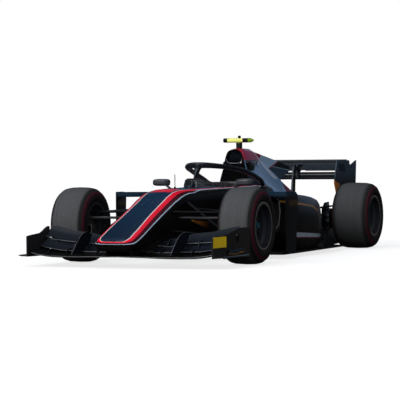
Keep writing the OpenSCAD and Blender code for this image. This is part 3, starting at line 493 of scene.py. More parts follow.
def finish(name, colour, rough=0.4, spread=0.1, metal=0.0, coat=0.0, specular=0.5, twill=0.0, tow=2.4,
           film=0.25, film_top=0.45, chips=0.0, grain=None, bump=0.0004, sheen=0.0, clear_part=0.0):
    """A material from a colour or a function that paints one, with marks, dust and a surface texture."""
    made = bpy.data.materials.new(name)
    made.use_nodes = True
    tree = made.node_tree
    shader = tree.nodes["Principled BSDF"]
    shader.inputs["Metallic"].default_value = metal
    shader.inputs["Coat Weight"].default_value = coat
    shader.inputs["Coat Roughness"].default_value = 0.08
    shader.inputs["Specular IOR Level"].default_value = specular
    shader.inputs["Sheen Weight"].default_value = sheen
    shader.inputs["Transmission Weight"].default_value = clear_part
    marks = wire(tree, "ShaderNodeGroup", node_tree=MARKS)
    marks.inputs["Base"].default_value = rough
    marks.inputs["Spread"].default_value = spread
    paint = colour(tree) if callable(colour) else None
    if paint is None:
        paint = wire(tree, "ShaderNodeRGB").outputs[0]
        paint.default_value = (*colour, 1)
    shaded = wire(tree, "ShaderNodeVectorMath", {0: paint, 1: marks.outputs["Shade"]}, operation="MULTIPLY")
    paint = shaded.outputs[0]
    height = None
    if twill:
        weave = wire(tree, "ShaderNodeGroup", node_tree=TWILL)
        weave.inputs["Tow"].default_value = tow
        lift = calc(tree, "ADD", 1.0 - twill / 2, calc(tree, "MULTIPLY", weave.outputs["Over"], twill))
        paint = wire(tree, "ShaderNodeVectorMath", {0: paint, 1: lift}, operation="MULTIPLY").outputs[0]
        height = weave.outputs["Height"]
    if chips:
        paint = blend(tree, calc(tree, "MULTIPLY", marks.outputs["Chips"], chips), paint, (0.25, 0.24, 0.23))
    if film:
        dust = wire(tree, "ShaderNodeGroup", node_tree=FILM)
        dust.inputs["Amount"].default_value = film
        dust.inputs["Top"].default_value = film_top
        paint = blend(tree, dust.outputs["Mask"], paint, DUST)
    if grain:
        height = grain(tree)
    if height is not None:
        relief = wire(tree, "ShaderNodeBump", {"Strength": 0.5, "Distance": bump, "Height": height})
        tree.links.new(relief.outputs[0], shader.inputs["Normal"])
    tree.links.new(paint, shader.inputs["Base Color"])
    tree.links.new(marks.outputs["Rough"], shader.inputs["Roughness"])
    return made


# Colours of the car, as linear light
NAVY = (0.0045, 0.0145, 0.036)
# Painted reflection: the nose panel's navy, lightened and blued for the sky it mirrors higher up
NAVY_SKY_SHEEN = (0.0060, 0.027, 0.064)
DEEP_NAVY = (0.0035, 0.009, 0.018)
RED = (0.80, 0.003, 0.030)
DARK_RED = (0.12, 0.003, 0.014)
BAND_RED = (0.055, 0.0015, 0.006)
MAROON = (0.34, 0.014, 0.085)
CROWN_RED = (0.30, 0.006, 0.02)
TAIL_NAVY = (0.03, 0.06, 0.10)
PLATE_NAVY = (0.035, 0.055, 0.085)
# On the nose and cell this pale line is a painted highlight near the shoulder
PALE_LINE = (0.36, 0.48, 0.62)
BLACK = (0.0030, 0.0028, 0.0028)
WHITE = (0.72, 0.72, 0.72)
SILVER_BLUE = (0.16, 0.30, 0.50)
SPINE_GREY = (0.34, 0.49, 0.70)
# Painted highlight along the engine cover's ridge
RIDGE_HIGHLIGHT = (0.62, 0.66, 0.78)
GOLD = (0.32, 0.15, 0.012)
YELLOW = (0.90, 0.62, 0.015)
ORANGE = (0.42, 0.14, 0.02)
SILVER = (0.36, 0.42, 0.50)
EMBER = (0.05, 0.008, 0.006)
# Painted shade inside the airbox intake
INTAKE_SHADE = (0.0015, 0.0015, 0.0018)
PLATE_GREY = (0.019, 0.0185, 0.0185)
FOOT_GREY = (0.05, 0.05, 0.055)
CAMERA_YELLOW = (0.84, 0.86, 0.22)
CAMERA_GREEN = (0.22, 0.40, 0.01)
CAMERA_FOOT = (0.012, 0.014, 0.012)
VANE_BLACK = (0.0045, 0.0045, 0.005)
# Partly navy paint, partly painted sky reflection on the vanes' tops
VANE_NAVY_AND_SHEEN = (0.010, 0.026, 0.048)
VANE_GOLD = (0.048, 0.028, 0.009)
REAR_BLACK = (0.0038, 0.0037, 0.0038)
REAR_EDGE_HIGHLIGHT = (0.16, 0.165, 0.17)
PYLON_BLACK = (0.0040, 0.0040, 0.0042)
PYLON_BRONZE = (0.030, 0.019, 0.005)
PYLON_HIGHLIGHT = (0.055, 0.063, 0.075)
WALL_DARK = (0.010, 0.0098, 0.0100)
WALL_LIGHT = (0.016, 0.0155, 0.0158)
FRONT_TREAD = (0.072, 0.074, 0.078)
REAR_TREAD = (0.050, 0.052, 0.055)
TYRE_RING = (0.045, 0.005, 0.012)
RIM_GREY = (0.022, 0.026, 0.033)
RIM_BARE = (0.30, 0.26, 0.22)
HUB_GREY = (0.12, 0.12, 0.125)
DISC_HOLE_SHADE = (0.004, 0.004, 0.004)
DISC_GREY = (0.03, 0.03, 0.03)
NUT_BLUE = (0.03, 0.16, 0.22)
# Painted shade between the radiator's fin rows
FIN_GAP_SHADE = (0.006, 0.006, 0.007)
FIN_GREY = (0.035, 0.035, 0.037)
FIN_TUBE = (0.05, 0.05, 0.054)
WOOD_DARK = (0.05, 0.028, 0.015)
WOOD_LIGHT = (0.15, 0.09, 0.05)
LENS_BRIGHT = (0.50, 0.02, 0.02)
LENS_DARK = (0.16, 0.005, 0.006)
PIPE_BARE = (0.30, 0.26, 0.22)
PIPE_BROWN = (0.16, 0.09, 0.05)
PIPE_BLUE = (0.08, 0.07, 0.13)


def cell_paint(tree):
    """Nose and survival cell: bands that follow the edge of the top panel, a painted sky reflection that
    makes the navy panel lighter higher up, and a painted highlight in the pale band near the shoulder.
    """
    x, y, z = spot(tree)
    out = calc(tree, "ABSOLUTE", y)
    panel_half = curve_of(tree, x, PANEL_HALF)
    shoulder_half = curve_of(tree, x, SHOULDER_HALF)
    panel_top = curve_of(tree, x, PANEL_TOP)
    shoulder_top = curve_of(tree, x, SHOULDER_TOP)
    by_width = calc(tree, "DIVIDE", calc(tree, "SUBTRACT", out, panel_half),
                    calc(tree, "SUBTRACT", shoulder_half, panel_half))
    by_height = calc(tree, "DIVIDE", calc(tree, "SUBTRACT", panel_top, z),
                     calc(tree, "SUBTRACT", panel_top, shoulder_top))
    narrow = calc(tree, "ADD", calc(tree, "MULTIPLY", past(tree, x, 120, -260), 0.6),
                  calc(tree, "MULTIPLY", past(tree, x, -240, -520), 3.2))
    narrow = calc(tree, "ADD", narrow, 1.0)
    down = calc(tree, "MULTIPLY", calc(tree, "MAXIMUM", by_width, by_height), narrow)
    patch = both(tree, past(tree, x, 52, 44), past(tree, x, -150, -140), ease(tree, by_width, -0.42, -0.48))
    # Painted reflection: the panel's navy grows lighter with height, for the sky it mirrors
    panel = blend(tree, ease(tree, z, 0.24, 0.60), NAVY, NAVY_SKY_SHEEN)
    paint = blend(tree, patch, panel, RED)
    soft = 0.012
    # Painted highlight: behind the cockpit front the band below the red turns pale, and the pale band near
    # the shoulder stands in for light caught on the shoulder's edge
    fading = blend(tree, past(tree, x, -240, -420), BAND_RED, PALE_LINE)
    for edge, colour in ((-0.030, WHITE), (0.0, RED), (0.36, fading), (0.78, PALE_LINE), (0.93, BLACK)):
        paint = blend(tree, ease(tree, down, edge - soft, edge + soft), paint, colour)
    wedge = both(tree, side_of(tree, x, z, (-480, 285), (-150, 363)),
                 side_of(tree, x, z, (-150, 372), (-480, 342)),
                 past(tree, x, -490, -480), past(tree, x, -150, -160), ease(tree, out, 0.12, 0.13))
    warm = coats(tree, EMBER, (past(tree, x, -470, -260), ORANGE), (past(tree, x, -215, -165), YELLOW))
    return blend(tree, wedge, paint, warm)


def cover_paint(tree):
    """Engine cover and fin: silver side, red and maroon crown, a painted highlight along the crown's ridge, a
    dark ear and airbox duct in painted shade, grey spine and black tail.
    """
    x, y, z = spot(tree)
    out = calc(tree, "ABSOLUTE", y)
    fin = ease(tree, out, 0.013, 0.009)
    behind = calc(tree, "MINIMUM", calc(tree, "SUBTRACT", x, row_x(-2229)), 0.0)
    beside = calc(tree, "SUBTRACT", out, calc(tree, "MULTIPLY", behind, 0.030))
    spine = ease(tree, beside, 0.052, 0.050)
    crown = ease(tree, z, 0.889, 0.895)
    upper = ease(tree, z, 0.70, 0.71)
    silver = side_of(tree, x, z, (-2300, 520), (-1700, 800), 0.006)
    grey = both(tree, ease(tree, z, 0.70, 0.72), spine)
    spine_top = both(tree, ease(tree, z, 0.880, 0.884), spine,
                     side_of(tree, x, z, (-2373, 942), (-2337, 906)))
    sides = both(tree, crown, past(tree, x, -2235, -2225), ease(tree, spine, 1.0, 0.0))
    front_edge = both(tree, past(tree, x, -1740, -1732), crown)
    # Painted highlight: pale lines on the crown's rounded ridge, where it turns from the top to the side
    broad = both(tree, between(tree, beside, 0.042, 0.058, 0.0006), past(tree, x, -2240, -2220))
    ridge_highlight = calc(tree, "MAXIMUM", broad, between(tree, beside, 0.0495, 0.0535, 0.0006))
    ridge_highlight = both(tree, ridge_highlight, upper, past(tree, x, -1830, -1850))
    tail = both(tree, side_of(tree, x, z, (-2633, 813), (-2834, 868)), fin, upper)
    low_part = both(tree, tail, side_of(tree, x, z, (-2730, 827), (-3105, 797)))
    thin = both(tree, tail, side_of(tree, x, z, (-2730, 829), (-3105, 799), 0.001),
                side_of(tree, x, z, (-3105, 794), (-2730, 824), 0.001))
    stripe = both(tree, side_of(tree, x, z, (-2842, 868), (-2641, 813), 0.001),
                  side_of(tree, x, z, (-2601, 813), (-2802, 868), 0.001), fin)
    low_tail = both(tree, side_of(tree, x, z, (-2985, 580), (-2925, 660)), ease(tree, z, 0.68, 0.66))
    # Painted shade: a black patch behind the airbox mouth stands for the dark opening of the ear intake
    ear = both(tree, ease(tree, z, 0.893, 0.888), side_of(tree, x, z, (-2130, 892), (-1760, 782)),
               past(tree, x, -1722, -1732))
    # Painted shade: the walls and floor inside the airbox duct, and all ahead of the mouth's edge, painted
    # near black for the shade in the intake
    ahead, away, up = looks(tree)
    duct_wall_shade = calc(tree, "MAXIMUM", ease(tree, away, -0.1, -0.3), ease(tree, ahead, 0.7, 0.85))
    duct_floor_shade = both(tree, ease(tree, z, 0.880, 0.876), ease(tree, up, 0.6, 0.8),
                      ease(tree, out, 0.082, 0.079))
    inside = both(tree, calc(tree, "MAXIMUM", duct_wall_shade, duct_floor_shade), past(tree, x, -2060, -2050),
                  ease(tree, z, 0.850, 0.855))
    inside = calc(tree, "MAXIMUM", inside, past(tree, x, -1706, -1700))
    return coats(tree, DEEP_NAVY, (silver, SILVER_BLUE), (grey, SPINE_GREY), (spine_top, CROWN_RED),
                 (sides, MAROON), (front_edge, RED), (ridge_highlight, RIDGE_HIGHLIGHT), (tail, BLACK),
                 (low_part, TAIL_NAVY), (thin, PALE_LINE), (stripe, CROWN_RED), (low_tail, DARK_RED),
                 (ear, BLACK), (inside, INTAKE_SHADE))


def pod_paint(tree):
    """Sidepods: dark top with a red field, a gold line, and a silver band low on the flank."""
    x, y, z = spot(tree)
    out = calc(tree, "ABSOLUTE", y)
    flank = ease(tree, out, 0.6, 0.62)
    gold_line = both(tree, side_of(tree, x, z, (-1250, 508), (-1760, 464), 0.002),
                     side_of(tree, x, z, (-1760, 450), (-1250, 490), 0.002),
                     past(tree, x, -1762, -1758), flank)
    gold_fall = both(tree, side_of(tree, x, z, (-1740, 472), (-1960, 408), 0.002),
                     side_of(tree, x, z, (-1960, 394), (-1740, 452), 0.002),
                     past(tree, x, -1960, -1950), past(tree, x, -1750, -1756), flank)
    top = side_of(tree, x, z, (-1950, 404), (-1250, 500))
    field = both(tree, past(tree, x, -1800, -1780), past(tree, x, -1230, -1250),
                 between(tree, out, 0.57, 0.69, 0.01), ease(tree, z, 0.548, 0.556))
    low_flank = both(tree, past(tree, x, -2080, -2060), past(tree, x, -1300, -1310), flank)
    band = both(tree, side_of(tree, x, z, (-1300, 226), (-2060, 184), 0.002),
                side_of(tree, x, z, (-2060, 152), (-1300, 183), 0.002), low_flank)
    under = both(tree, side_of(tree, x, z, (-1300, 182), (-2060, 151), 0.001),
                 side_of(tree, x, z, (-2060, 142), (-1300, 173), 0.001), low_flank)
    return coats(tree, BLACK, (top, DEEP_NAVY), (field, DARK_RED), (gold_line, GOLD), (gold_fall, GOLD),
                 (band, SILVER), (under, DARK_RED))


def front_endplate_paint(tree):
    """Front endplates: grey, with a yellow panel on the outer face."""
    x, y, z = spot(tree)
    panel = both(tree, between(tree, x, row_x(652), row_x(902), 0.001), between(tree, z, 0.176, 0.264, 0.001),
                 ease(tree, looks(tree)[1], 0.2, 0.4))
    return coats(tree, PLATE_GREY, (panel, YELLOW), (ease(tree, z, 0.094, 0.091), FOOT_GREY))


def rear_endplate_paint(tree):
    """Rear endplates: navy above, with an orange corner low in front."""
    x, y, z = spot(tree)
    corner = both(tree, side_of(tree, x, z, (-3340, 672), (-3480, 640)), past(tree, x, -3475, -3460))
    return coats(tree, BLACK, (ease(tree, z, 0.60, 0.80), PLATE_NAVY), (corner, ORANGE))


def camera_paint(tree):
    """Camera pod: yellow middle, a green end, dark foot and aerial."""
    x, y, z = spot(tree)
    return coats(tree, BLACK, (between(tree, y, -0.105, 0.051, 0.001), CAMERA_YELLOW),
                 (ease(tree, y, 0.104, 0.106), CAMERA_GREEN), (ease(tree, z, 1.100, 1.102), BLACK),
                 (ease(tree, z, 1.060, 1.057), CAMERA_FOOT))


def vane_paint(tree):
    """Sidepod vanes: black, navy at the top, partly navy paint and partly a painted sky reflection, with a
    gold patch.
    """
    x, y, z = spot(tree)
    patch = both(tree, between(tree, z, 0.478, 0.532, 0.003),
                 between(tree, x, row_x(-1080), row_x(-890), 0.004))
    return coats(tree, VANE_BLACK, (ease(tree, z, 0.555, 0.575), VANE_NAVY_AND_SHEEN), (patch, VANE_GOLD))


def rear_main_paint(tree):
    """Rear main plane: black, with a painted highlight, a bright line on its forward faces where its first
    element ends.
    """
    x, y, z = spot(tree)
    # Painted highlight: a narrow band on the forward faces, lighter for the light caught there
    line = both(tree, between(tree, z, 0.738, 0.746, 0.001), ease(tree, looks(tree)[0], 0.1, 0.2))
    return blend(tree, line, REAR_BLACK, REAR_EDGE_HIGHLIGHT)


def pylon_paint(tree):
    """Rear wing mount: black, bronze low down, with grey on its forward faces as a painted highlight."""
    x, y, z = spot(tree)
    # Painted highlight: faces that look ahead are painted grey
    return coats(tree, PYLON_BLACK, (ease(tree, z, 0.70, 0.64), PYLON_BRONZE),
                 (ease(tree, looks(tree)[0], 0.75, 0.9), PYLON_HIGHLIGHT))


def tyre_paint(axle_x, tread):
    """Tyres: dark walls with a red ring, and a paler tread with worn lines round it."""
    def paint_it(tree):
        x, y, z = spot(tree)
        r = from_axle(tree, x, z, axle_x)
        wall = blend(tree, noise(tree, 14.0, 4.0), WALL_DARK, WALL_LIGHT)
        rolled = wire(tree, "ShaderNodeCombineXYZ", {0: calc(tree, "MULTIPLY", y, 9.0),
                                                     1: calc(tree, "MULTIPLY", r, 0.5)})
        lines = wire(tree, "ShaderNodeTexNoise", {"Vector": rolled.outputs[0], "Scale": 14.0, "Detail": 5.0})
        worn = blend(tree, ease(tree, lines.outputs["Fac"], 0.3, 0.7), scaled(tread, 0.76),
                     scaled(tread, 1.1))
        worn = blend(tree, ease(tree, noise(tree, 38.0, 6.0, 0.7), 0.35, 0.8), worn, scaled(tread, 0.8))
        return coats(tree, wall, (ease(tree, r, 0.312, 0.322), worn),
                     (between(tree, r, 0.262, 0.288, 0.0008), TYRE_RING),
                     (between(tree, r, 0.287, 0.2905, 0.0006), scaled(TYRE_RING, 3)))
    return paint_it


def tyre_grain(tree):
    x, y, z = spot(tree)
    lines = calc(tree, "SINE", calc(tree, "MULTIPLY", y, 900.0))
    return calc(tree, "ADD", noise(tree, 300.0, 3.0), calc(tree, "MULTIPLY", lines, 0.08))


def rim_paint(axle_x):
    """Rims: grey, with a bare ring on the outer flange."""
    def paint_it(tree):
        x, y, z = spot(tree)
        outer = ease(tree, calc(tree, "ABSOLUTE", y), 0.785, 0.790)
        ring = both(tree, between(tree, from_axle(tree, x, z, axle_x), 0.1935, 0.30, 0.0006), outer)
        return blend(tree, ring, RIM_GREY, RIM_BARE)
    return paint_it


# Sides past which the wheel nuts lie, in metres
FRONT_NUT = 0.850
REAR_NUT = 0.745


def hub_paint(axle_x, nut_face):
    """Hubs: grey, with a drilled disc whose holes are dark spots of painted shade, and a blue nut past the
    given side.
    """
    def paint_it(tree):
        x, y, z = spot(tree)
        r = from_axle(tree, x, z, axle_x)
        nut = both(tree, ease(tree, r, 0.043, 0.042),
                   ease(tree, calc(tree, "ABSOLUTE", y), nut_face - 0.001, nut_face))
        where = wire(tree, "ShaderNodeTexCoord")
        holes = wire(tree, "ShaderNodeTexVoronoi", {"Vector": where.outputs["Object"], "Scale": 110.0,
                                                    "Randomness": 0.15})
        # Painted shade: dark spots stand in for the disc's drilled holes
        disc = blend(tree, ease(tree, holes.outputs["Distance"], 0.24, 0.30), DISC_HOLE_SHADE, DISC_GREY)
        return coats(tree, HUB_GREY, (ease(tree, r, 0.060, 0.061), disc), (nut, NUT_BLUE))
    return paint_it


def fins_paint(tree):
    """Radiator cores: rows of fins between upright tubes, with painted shade in the gaps between the rows."""
    x, y, z = spot(tree)
    rows = ease(tree, calc(tree, "SINE", calc(tree, "MULTIPLY", z, 900.0)), -0.2, 0.2)
    tubes = ease(tree, calc(tree, "SINE", calc(tree, "MULTIPLY", y, 300.0)), 0.7, 0.9)
    return coats(tree, FIN_GAP_SHADE, (rows, FIN_GREY), (tubes, FIN_TUBE))


def wood_paint(tree):
    """Skid plank: wood with its grain along the car."""
    where = wire(tree, "ShaderNodeTexCoord")
    laid = wire(tree, "ShaderNodeMapping", {0: where.outputs["Object"], 3: (2.0, 40.0, 40.0)})
    grain = wire(tree, "ShaderNodeTexNoise", {"Vector": laid.outputs[0], "Scale": 6.0, "Detail": 5.0})
    return blend(tree, grain.outputs["Fac"], WOOD_DARK, WOOD_LIGHT)


def lens_paint(tree):
    """Rain light: red cells."""
    where = wire(tree, "ShaderNodeTexCoord")
    cells = wire(tree, "ShaderNodeTexVoronoi", {"Vector": where.outputs["Object"], "Scale": 90.0,
                                                "Randomness": 0.0})
    return blend(tree, ease(tree, cells.outputs["Distance"], 0.2, 0.4), LENS_BRIGHT, LENS_DARK)


def heat_paint(tree):
    """Exhaust: bare in front, browned and blued by heat at its end."""
    x, y, z = spot(tree)
    tail = past(tree, x, -3250, -3500)
    return coats(tree, PIPE_BARE, (tail, PIPE_BROWN), (both(tree, tail, noise(tree, 20.0)), PIPE_BLUE))


def fabric_grain(tree):
    x, y, z = spot(tree)
    a = calc(tree, "SINE", calc(tree, "MULTIPLY", calc(tree, "ADD", x, y), 2600.0))
    b = calc(tree, "SINE", calc(tree, "MULTIPLY", calc(tree, "SUBTRACT", z, y), 2600.0))
    return calc(tree, "MULTIPLY", a, b)


def fine_grain(scale, detail=3.0):
    return lambda tree: noise(tree, scale, detail)


CELL_PAINT = finish("cell_paint", cell_paint, rough=0.32, coat=0.2, specular=0.22, film=0.05, chips=0.2)
COVER_PAINT = finish("cover_paint", cover_paint, rough=0.30, coat=0.2, film=0.06)
POD_PAINT = finish("pod_paint", pod_paint, rough=0.28, coat=0.5, film=0.18, film_top=0.35)
CARBON = finish("carbon_satin", (0.0045, 0.0043, 0.0043), rough=0.40, coat=0.15, specular=0.25, twill=0.5)
CARBON_GLOSS = finish("carbon_gloss", (0.0038, 0.0037, 0.0038), rough=0.24, coat=0.6, twill=0.4, film=0.12)
WING_CARBON = finish("wing_carbon", (0.0034, 0.0034, 0.0036), rough=0.34, coat=0.05, specular=0.16,
                     twill=0.4, film=0.06)
CARBON_FLOOR = finish("carbon_floor", (0.0055, 0.0053, 0.0052), rough=0.55, specular=0.35, twill=0.5,
                      film=0.5)
HALO_SATIN = finish("halo_satin", (0.007, 0.009, 0.013), rough=0.36, coat=0.25, twill=0.3, film=0.0)
MIRROR_SHELL = finish("mirror_shell", (0.045, 0.048, 0.055), rough=0.22, coat=0.8, twill=0.25, film=0.0)
WING_FLAP = finish("wing_flap", (0.0050, 0.0072, 0.0120), rough=0.36, coat=0.05, specular=0.14, film=0.06)
VANE = finish("vane_carbon", vane_paint, rough=0.36, coat=0.3, twill=0.4)
REAR_MAIN = finish("rear_main_paint", rear_main_paint, rough=0.3, coat=0.3, specular=0.3, film=0.08)
PYLON = finish("pylon_paint", pylon_paint, rough=0.3, coat=0.3, specular=0.3, film=0.08)
ROD_GREY = finish("rod_grey", (0.030, 0.031, 0.033), rough=0.38, coat=0.1, film=0.15)
FRONT_PLATE = finish("front_endplate_paint", front_endplate_paint, rough=0.32, coat=0.1, specular=0.3,
                     film=0.15)
REAR_PLATE = finish("rear_endplate_paint", rear_endplate_paint, rough=0.30, coat=0.4, film=0.1)
FLAP_GREY = finish("flap_grey", (0.009, 0.012, 0.017), rough=0.34, coat=0.08, specular=0.25, film=0.04)
CAMERA_SHELL = finish("camera_shell", camera_paint, rough=0.35, coat=0.3, film=0.05)
RUBBER = dict(rough=0.72, spread=0.12, specular=0.3, film=0.2, film_top=0.7, grain=tyre_grain, bump=0.0008)
FRONT_TYRE = finish("front_tyre", tyre_paint(0, FRONT_TREAD), **RUBBER)
REAR_TYRE = finish("rear_tyre", tyre_paint(REAR, REAR_TREAD), **RUBBER)
FRONT_RIM = finish("front_rim", rim_paint(0), rough=0.4, metal=0.1, film=0.15, film_top=0.8)
REAR_RIM = finish("rear_rim", rim_paint(REAR), rough=0.4, metal=0.1, film=0.15, film_top=0.8)
FRONT_HUB = finish("front_hub", hub_paint(0, FRONT_NUT), rough=0.36, metal=0.5, film=0.1)
REAR_HUB = finish("rear_hub", hub_paint(REAR, REAR_NUT), rough=0.36, metal=0.5, film=0.1)
STEEL = finish("machined_steel", (0.30, 0.30, 0.31), rough=0.32, metal=1.0, film=0.1)
CAST = finish("cast_alloy", (0.16, 0.16, 0.165), rough=0.5, metal=0.8, film=0.3, grain=fine_grain(260.0, 2.0))
WOOD = finish("plank_wood", wood_paint, rough=0.6, film=0.3)
RAIN_LENS = finish("rain_lens", lens_paint, rough=0.2, coat=0.7, film=0.05)
HEATED = finish("heated_pipe", heat_paint, rough=0.34, metal=0.9, film=0.0)
MIRROR = finish("mirror_face", (0.75, 0.77, 0.80), rough=0.05, spread=0.04, metal=1.0, film=0.0)
FINS = finish("radiator_fins", fins_paint, rough=0.45, metal=0.6, film=0.1)
GRIP = finish("grip_rubber", (0.012, 0.012, 0.013), rough=0.7, specular=0.3, film=0.0,
              grain=fine_grain(420.0))
PAD = finish("pad_cloth", (0.014, 0.0145, 0.017), rough=0.8, specular=0.25, sheen=0.3, film=0.0,
             grain=fabric_grain)
WEBBING = finish("webbing", (0.018, 0.030, 0.062), rough=0.75, specular=0.25, sheen=0.2, film=0.0,
                 grain=fabric_grain)
RED_LEVER = finish("red_anodised", (0.42, 0.012, 0.014), rough=0.35, metal=0.5, film=0.0)
TINTED = finish("tinted_screen", (0.30, 0.33, 0.35), rough=0.05, spread=0.03, film=0.0, clear_part=0.96)
AERIAL = finish("aerial_shell", (0.012, 0.012, 0.013), rough=0.45, film=0.0)
# Painted highlight: pale strips and lips that stand in for light caught along edges
EDGE_HIGHLIGHT = finish("edge_highlight", (0.20, 0.21, 0.22), rough=0.35, metal=0.6, film=0.05)
# Painted shade: near black for the inside of the endplate vents
VENT_SHADE = finish("vent_shade", (0.0006, 0.0006, 0.0006), rough=0.8, specular=0.05, film=0.0)
# Painted light: the endplate foot roll, lightened and blued for the sky light falling on it
FOOT_SKYLIGHT = finish("foot_skylight", (0.07, 0.11, 0.15), rough=0.3, coat=0.4, film=0.05)
FIN_BLUE = finish("fin_blue", (0.014, 0.034, 0.058), rough=0.3, coat=0.4, film=0.05)
CAMERA_LENS = finish("lens_glass", (0.004, 0.005, 0.010), rough=0.06, coat=0.8, film=0.0)
CALIPER = finish("caliper_grey", (0.035, 0.036, 0.040), rough=0.4, metal=0.5, film=0.2)
SCREEN = finish("blank_display", (0.006, 0.009, 0.012), rough=0.12, coat=0.5, film=0.0)


# Skins of the drawn solids

SKIN_ANGLE = 32


def merged_copy(node, name):
    """A copy of a drawn solid whose loose triangles are joined up."""
    obj = bpy.data.objects.new(name, nodes[node].data.copy())
    scene.collection.objects.link(obj)
    take(obj)
    bpy.ops.mesh.customdata_custom_splitnormals_clear()
    edit_all(obj)
    bpy.ops.mesh.remove_doubles(threshold=SOLID_MERGE)
    leave()
    return obj


def skin(node, material, slot):
    """A shaded copy of a drawn solid that stands for it in the picture."""
    obj = merged_copy(node, node + "_skin")
    settle(obj, node + "_skin", body_of_node[node], material, SKIN_ANGLE)
    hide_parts(node)
    return obj


SKINS = {
    "nose": (CELL_PAINT, "body_paint"), "monocoque": (CELL_PAINT, "body_paint"),
    "engine_cover": (COVER_PAINT, "cover_paint"), "engine": (CAST, "cast"),
    "sidepods": (POD_PAINT, "body_paint"), "radiators": (FINS, "core"), "sidepod_vanes": (VANE, "carbon"),
    "floor": (CARBON_FLOOR, "carbon"), "plank": (WOOD, "wood"), "diffuser": (CARBON_FLOOR, "carbon"),
    "gearbox": (CAST, "cast"), "rear_crash_structure": (CARBON, "carbon"),
    "rain_light": (RAIN_LENS, "light"), "exhaust": (HEATED, "pipe"),
    "front_wing_main": (WING_CARBON, "carbon"), "front_wing_flaps": (WING_FLAP, "carbon"),
    "front_wing_endplates": (FRONT_PLATE, "carbon"), "front_wing_pylons": (CARBON_GLOSS, "carbon"),
    "front_suspension": (CARBON, "carbon"), "rear_suspension": (CARBON, "carbon"),
    "rear_uprights": (CAST, "metal"), "mirrors": (MIRROR_SHELL, "carbon"),
    "mirror_glasses": (MIRROR, "glass"), "antenna": (AERIAL, "carbon"),
    "roll_hoop_camera": (CAMERA_SHELL, "camera"),
    "rear_wing_main": (REAR_MAIN, "carbon"), "rear_wing_endplates": (REAR_PLATE, "carbon"),
    "rear_wing_pylon": (PYLON, "carbon"), "rear_wing_flap": (FLAP_GREY, "carbon"),
    "steering_wheel": (CARBON, "grip"), "track_rods": (ROD_GREY, "metal"),
    "upright_fl": (CAST, "metal"), "upright_fr": (CAST, "metal")}
for corner in ("fl", "fr"):
    SKINS["rim_" + corner] = (FRONT_RIM, "rim")
    SKINS["hub_" + corner] = (FRONT_HUB, "metal")
for corner in ("rl", "rr"):
    SKINS["rim_" + corner] = (REAR_RIM, "rim")
    SKINS["hub_" + corner] = (REAR_HUB, "metal")
skins = {node: skin(node, *given) for node, given in SKINS.items()}
for node in ("headrest", "seat"):
    nodes[node].data.materials.clear()
    nodes[node].data.materials.append(PAD)


# Tyres, spun from one profile

# Station, side, half width and body of each wheel
WHEELS = {"fl": (0.0, FRONT_TRACK, 165.0, "wheel_front_left"),
          "fr": (0.0, -FRONT_TRACK, 165.0, "wheel_front_right"),
          "rl": (REAR, REAR_TRACK, 190.0, "wheel_rear_left"),
          "rr": (REAR, -REAR_TRACK, 190.0, "wheel_rear_right")}
# Half of a tyre's section: share of its half width, and radius
TYRE_SECTION = [(0.0, 330), (0.50, 327), (0.74, 318), (0.89, 300), (0.97, 271), (1.0, 238), (0.95, 210),
                (0.885, 203.5), (0.878, 186.5)]
TYRE_STEPS = 40


def make_tyre(corner):
    x, y, half, body = WHEELS[corner]
    right = [place(x, y + s * half, AXLE_Z + r) for s, r in TYRE_SECTION]
    left = [place(x, y - s * half, AXLE_Z + r) for s, r in TYRE_SECTION[:0:-1]]
    obj = turned(left + right, place(x, y, AXLE_Z), (0, 1, 0), TYRE_STEPS)
    settle(obj, "tyre_" + corner + "_rubber", body, FRONT_TYRE if corner[0] == "f" else REAR_TYRE, 50)
    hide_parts("tyre_" + corner)


for corner in WHEELS:
    make_tyre(corner)


# Halo: one tube round the cockpit and a blade shaped pillar, grown from lines and smoothed into each other

# Left arm and pillar from the crown: station, side, height, radius
HALO_ARM = [(-798, 0, 847, 31), (-812, 60, 846, 29), (-870, 122, 841, 27), (-980, 182, 831, 25),
            (-1120, 229, 815, 24), (-1280, 262, 792, 24), (-1460, 281, 751, 25), (-1640, 284, 702, 26),
            (-1738, 271, 654, 28)]
HALO_PILLAR = [(-798, 0, 847, 31), (-782, 0, 800, 28), (-756, 0, 752, 25), (-714, 0, 695, 25),
               (-658, 0, 630, 27)]
PILLAR_THIN = 0.62
PILLAR_DEEP = 1.45
# The part of the tube that is flattened lies within this side and ahead of this station
PILLAR_SIDE = 0.06
PILLAR_BACK = -830


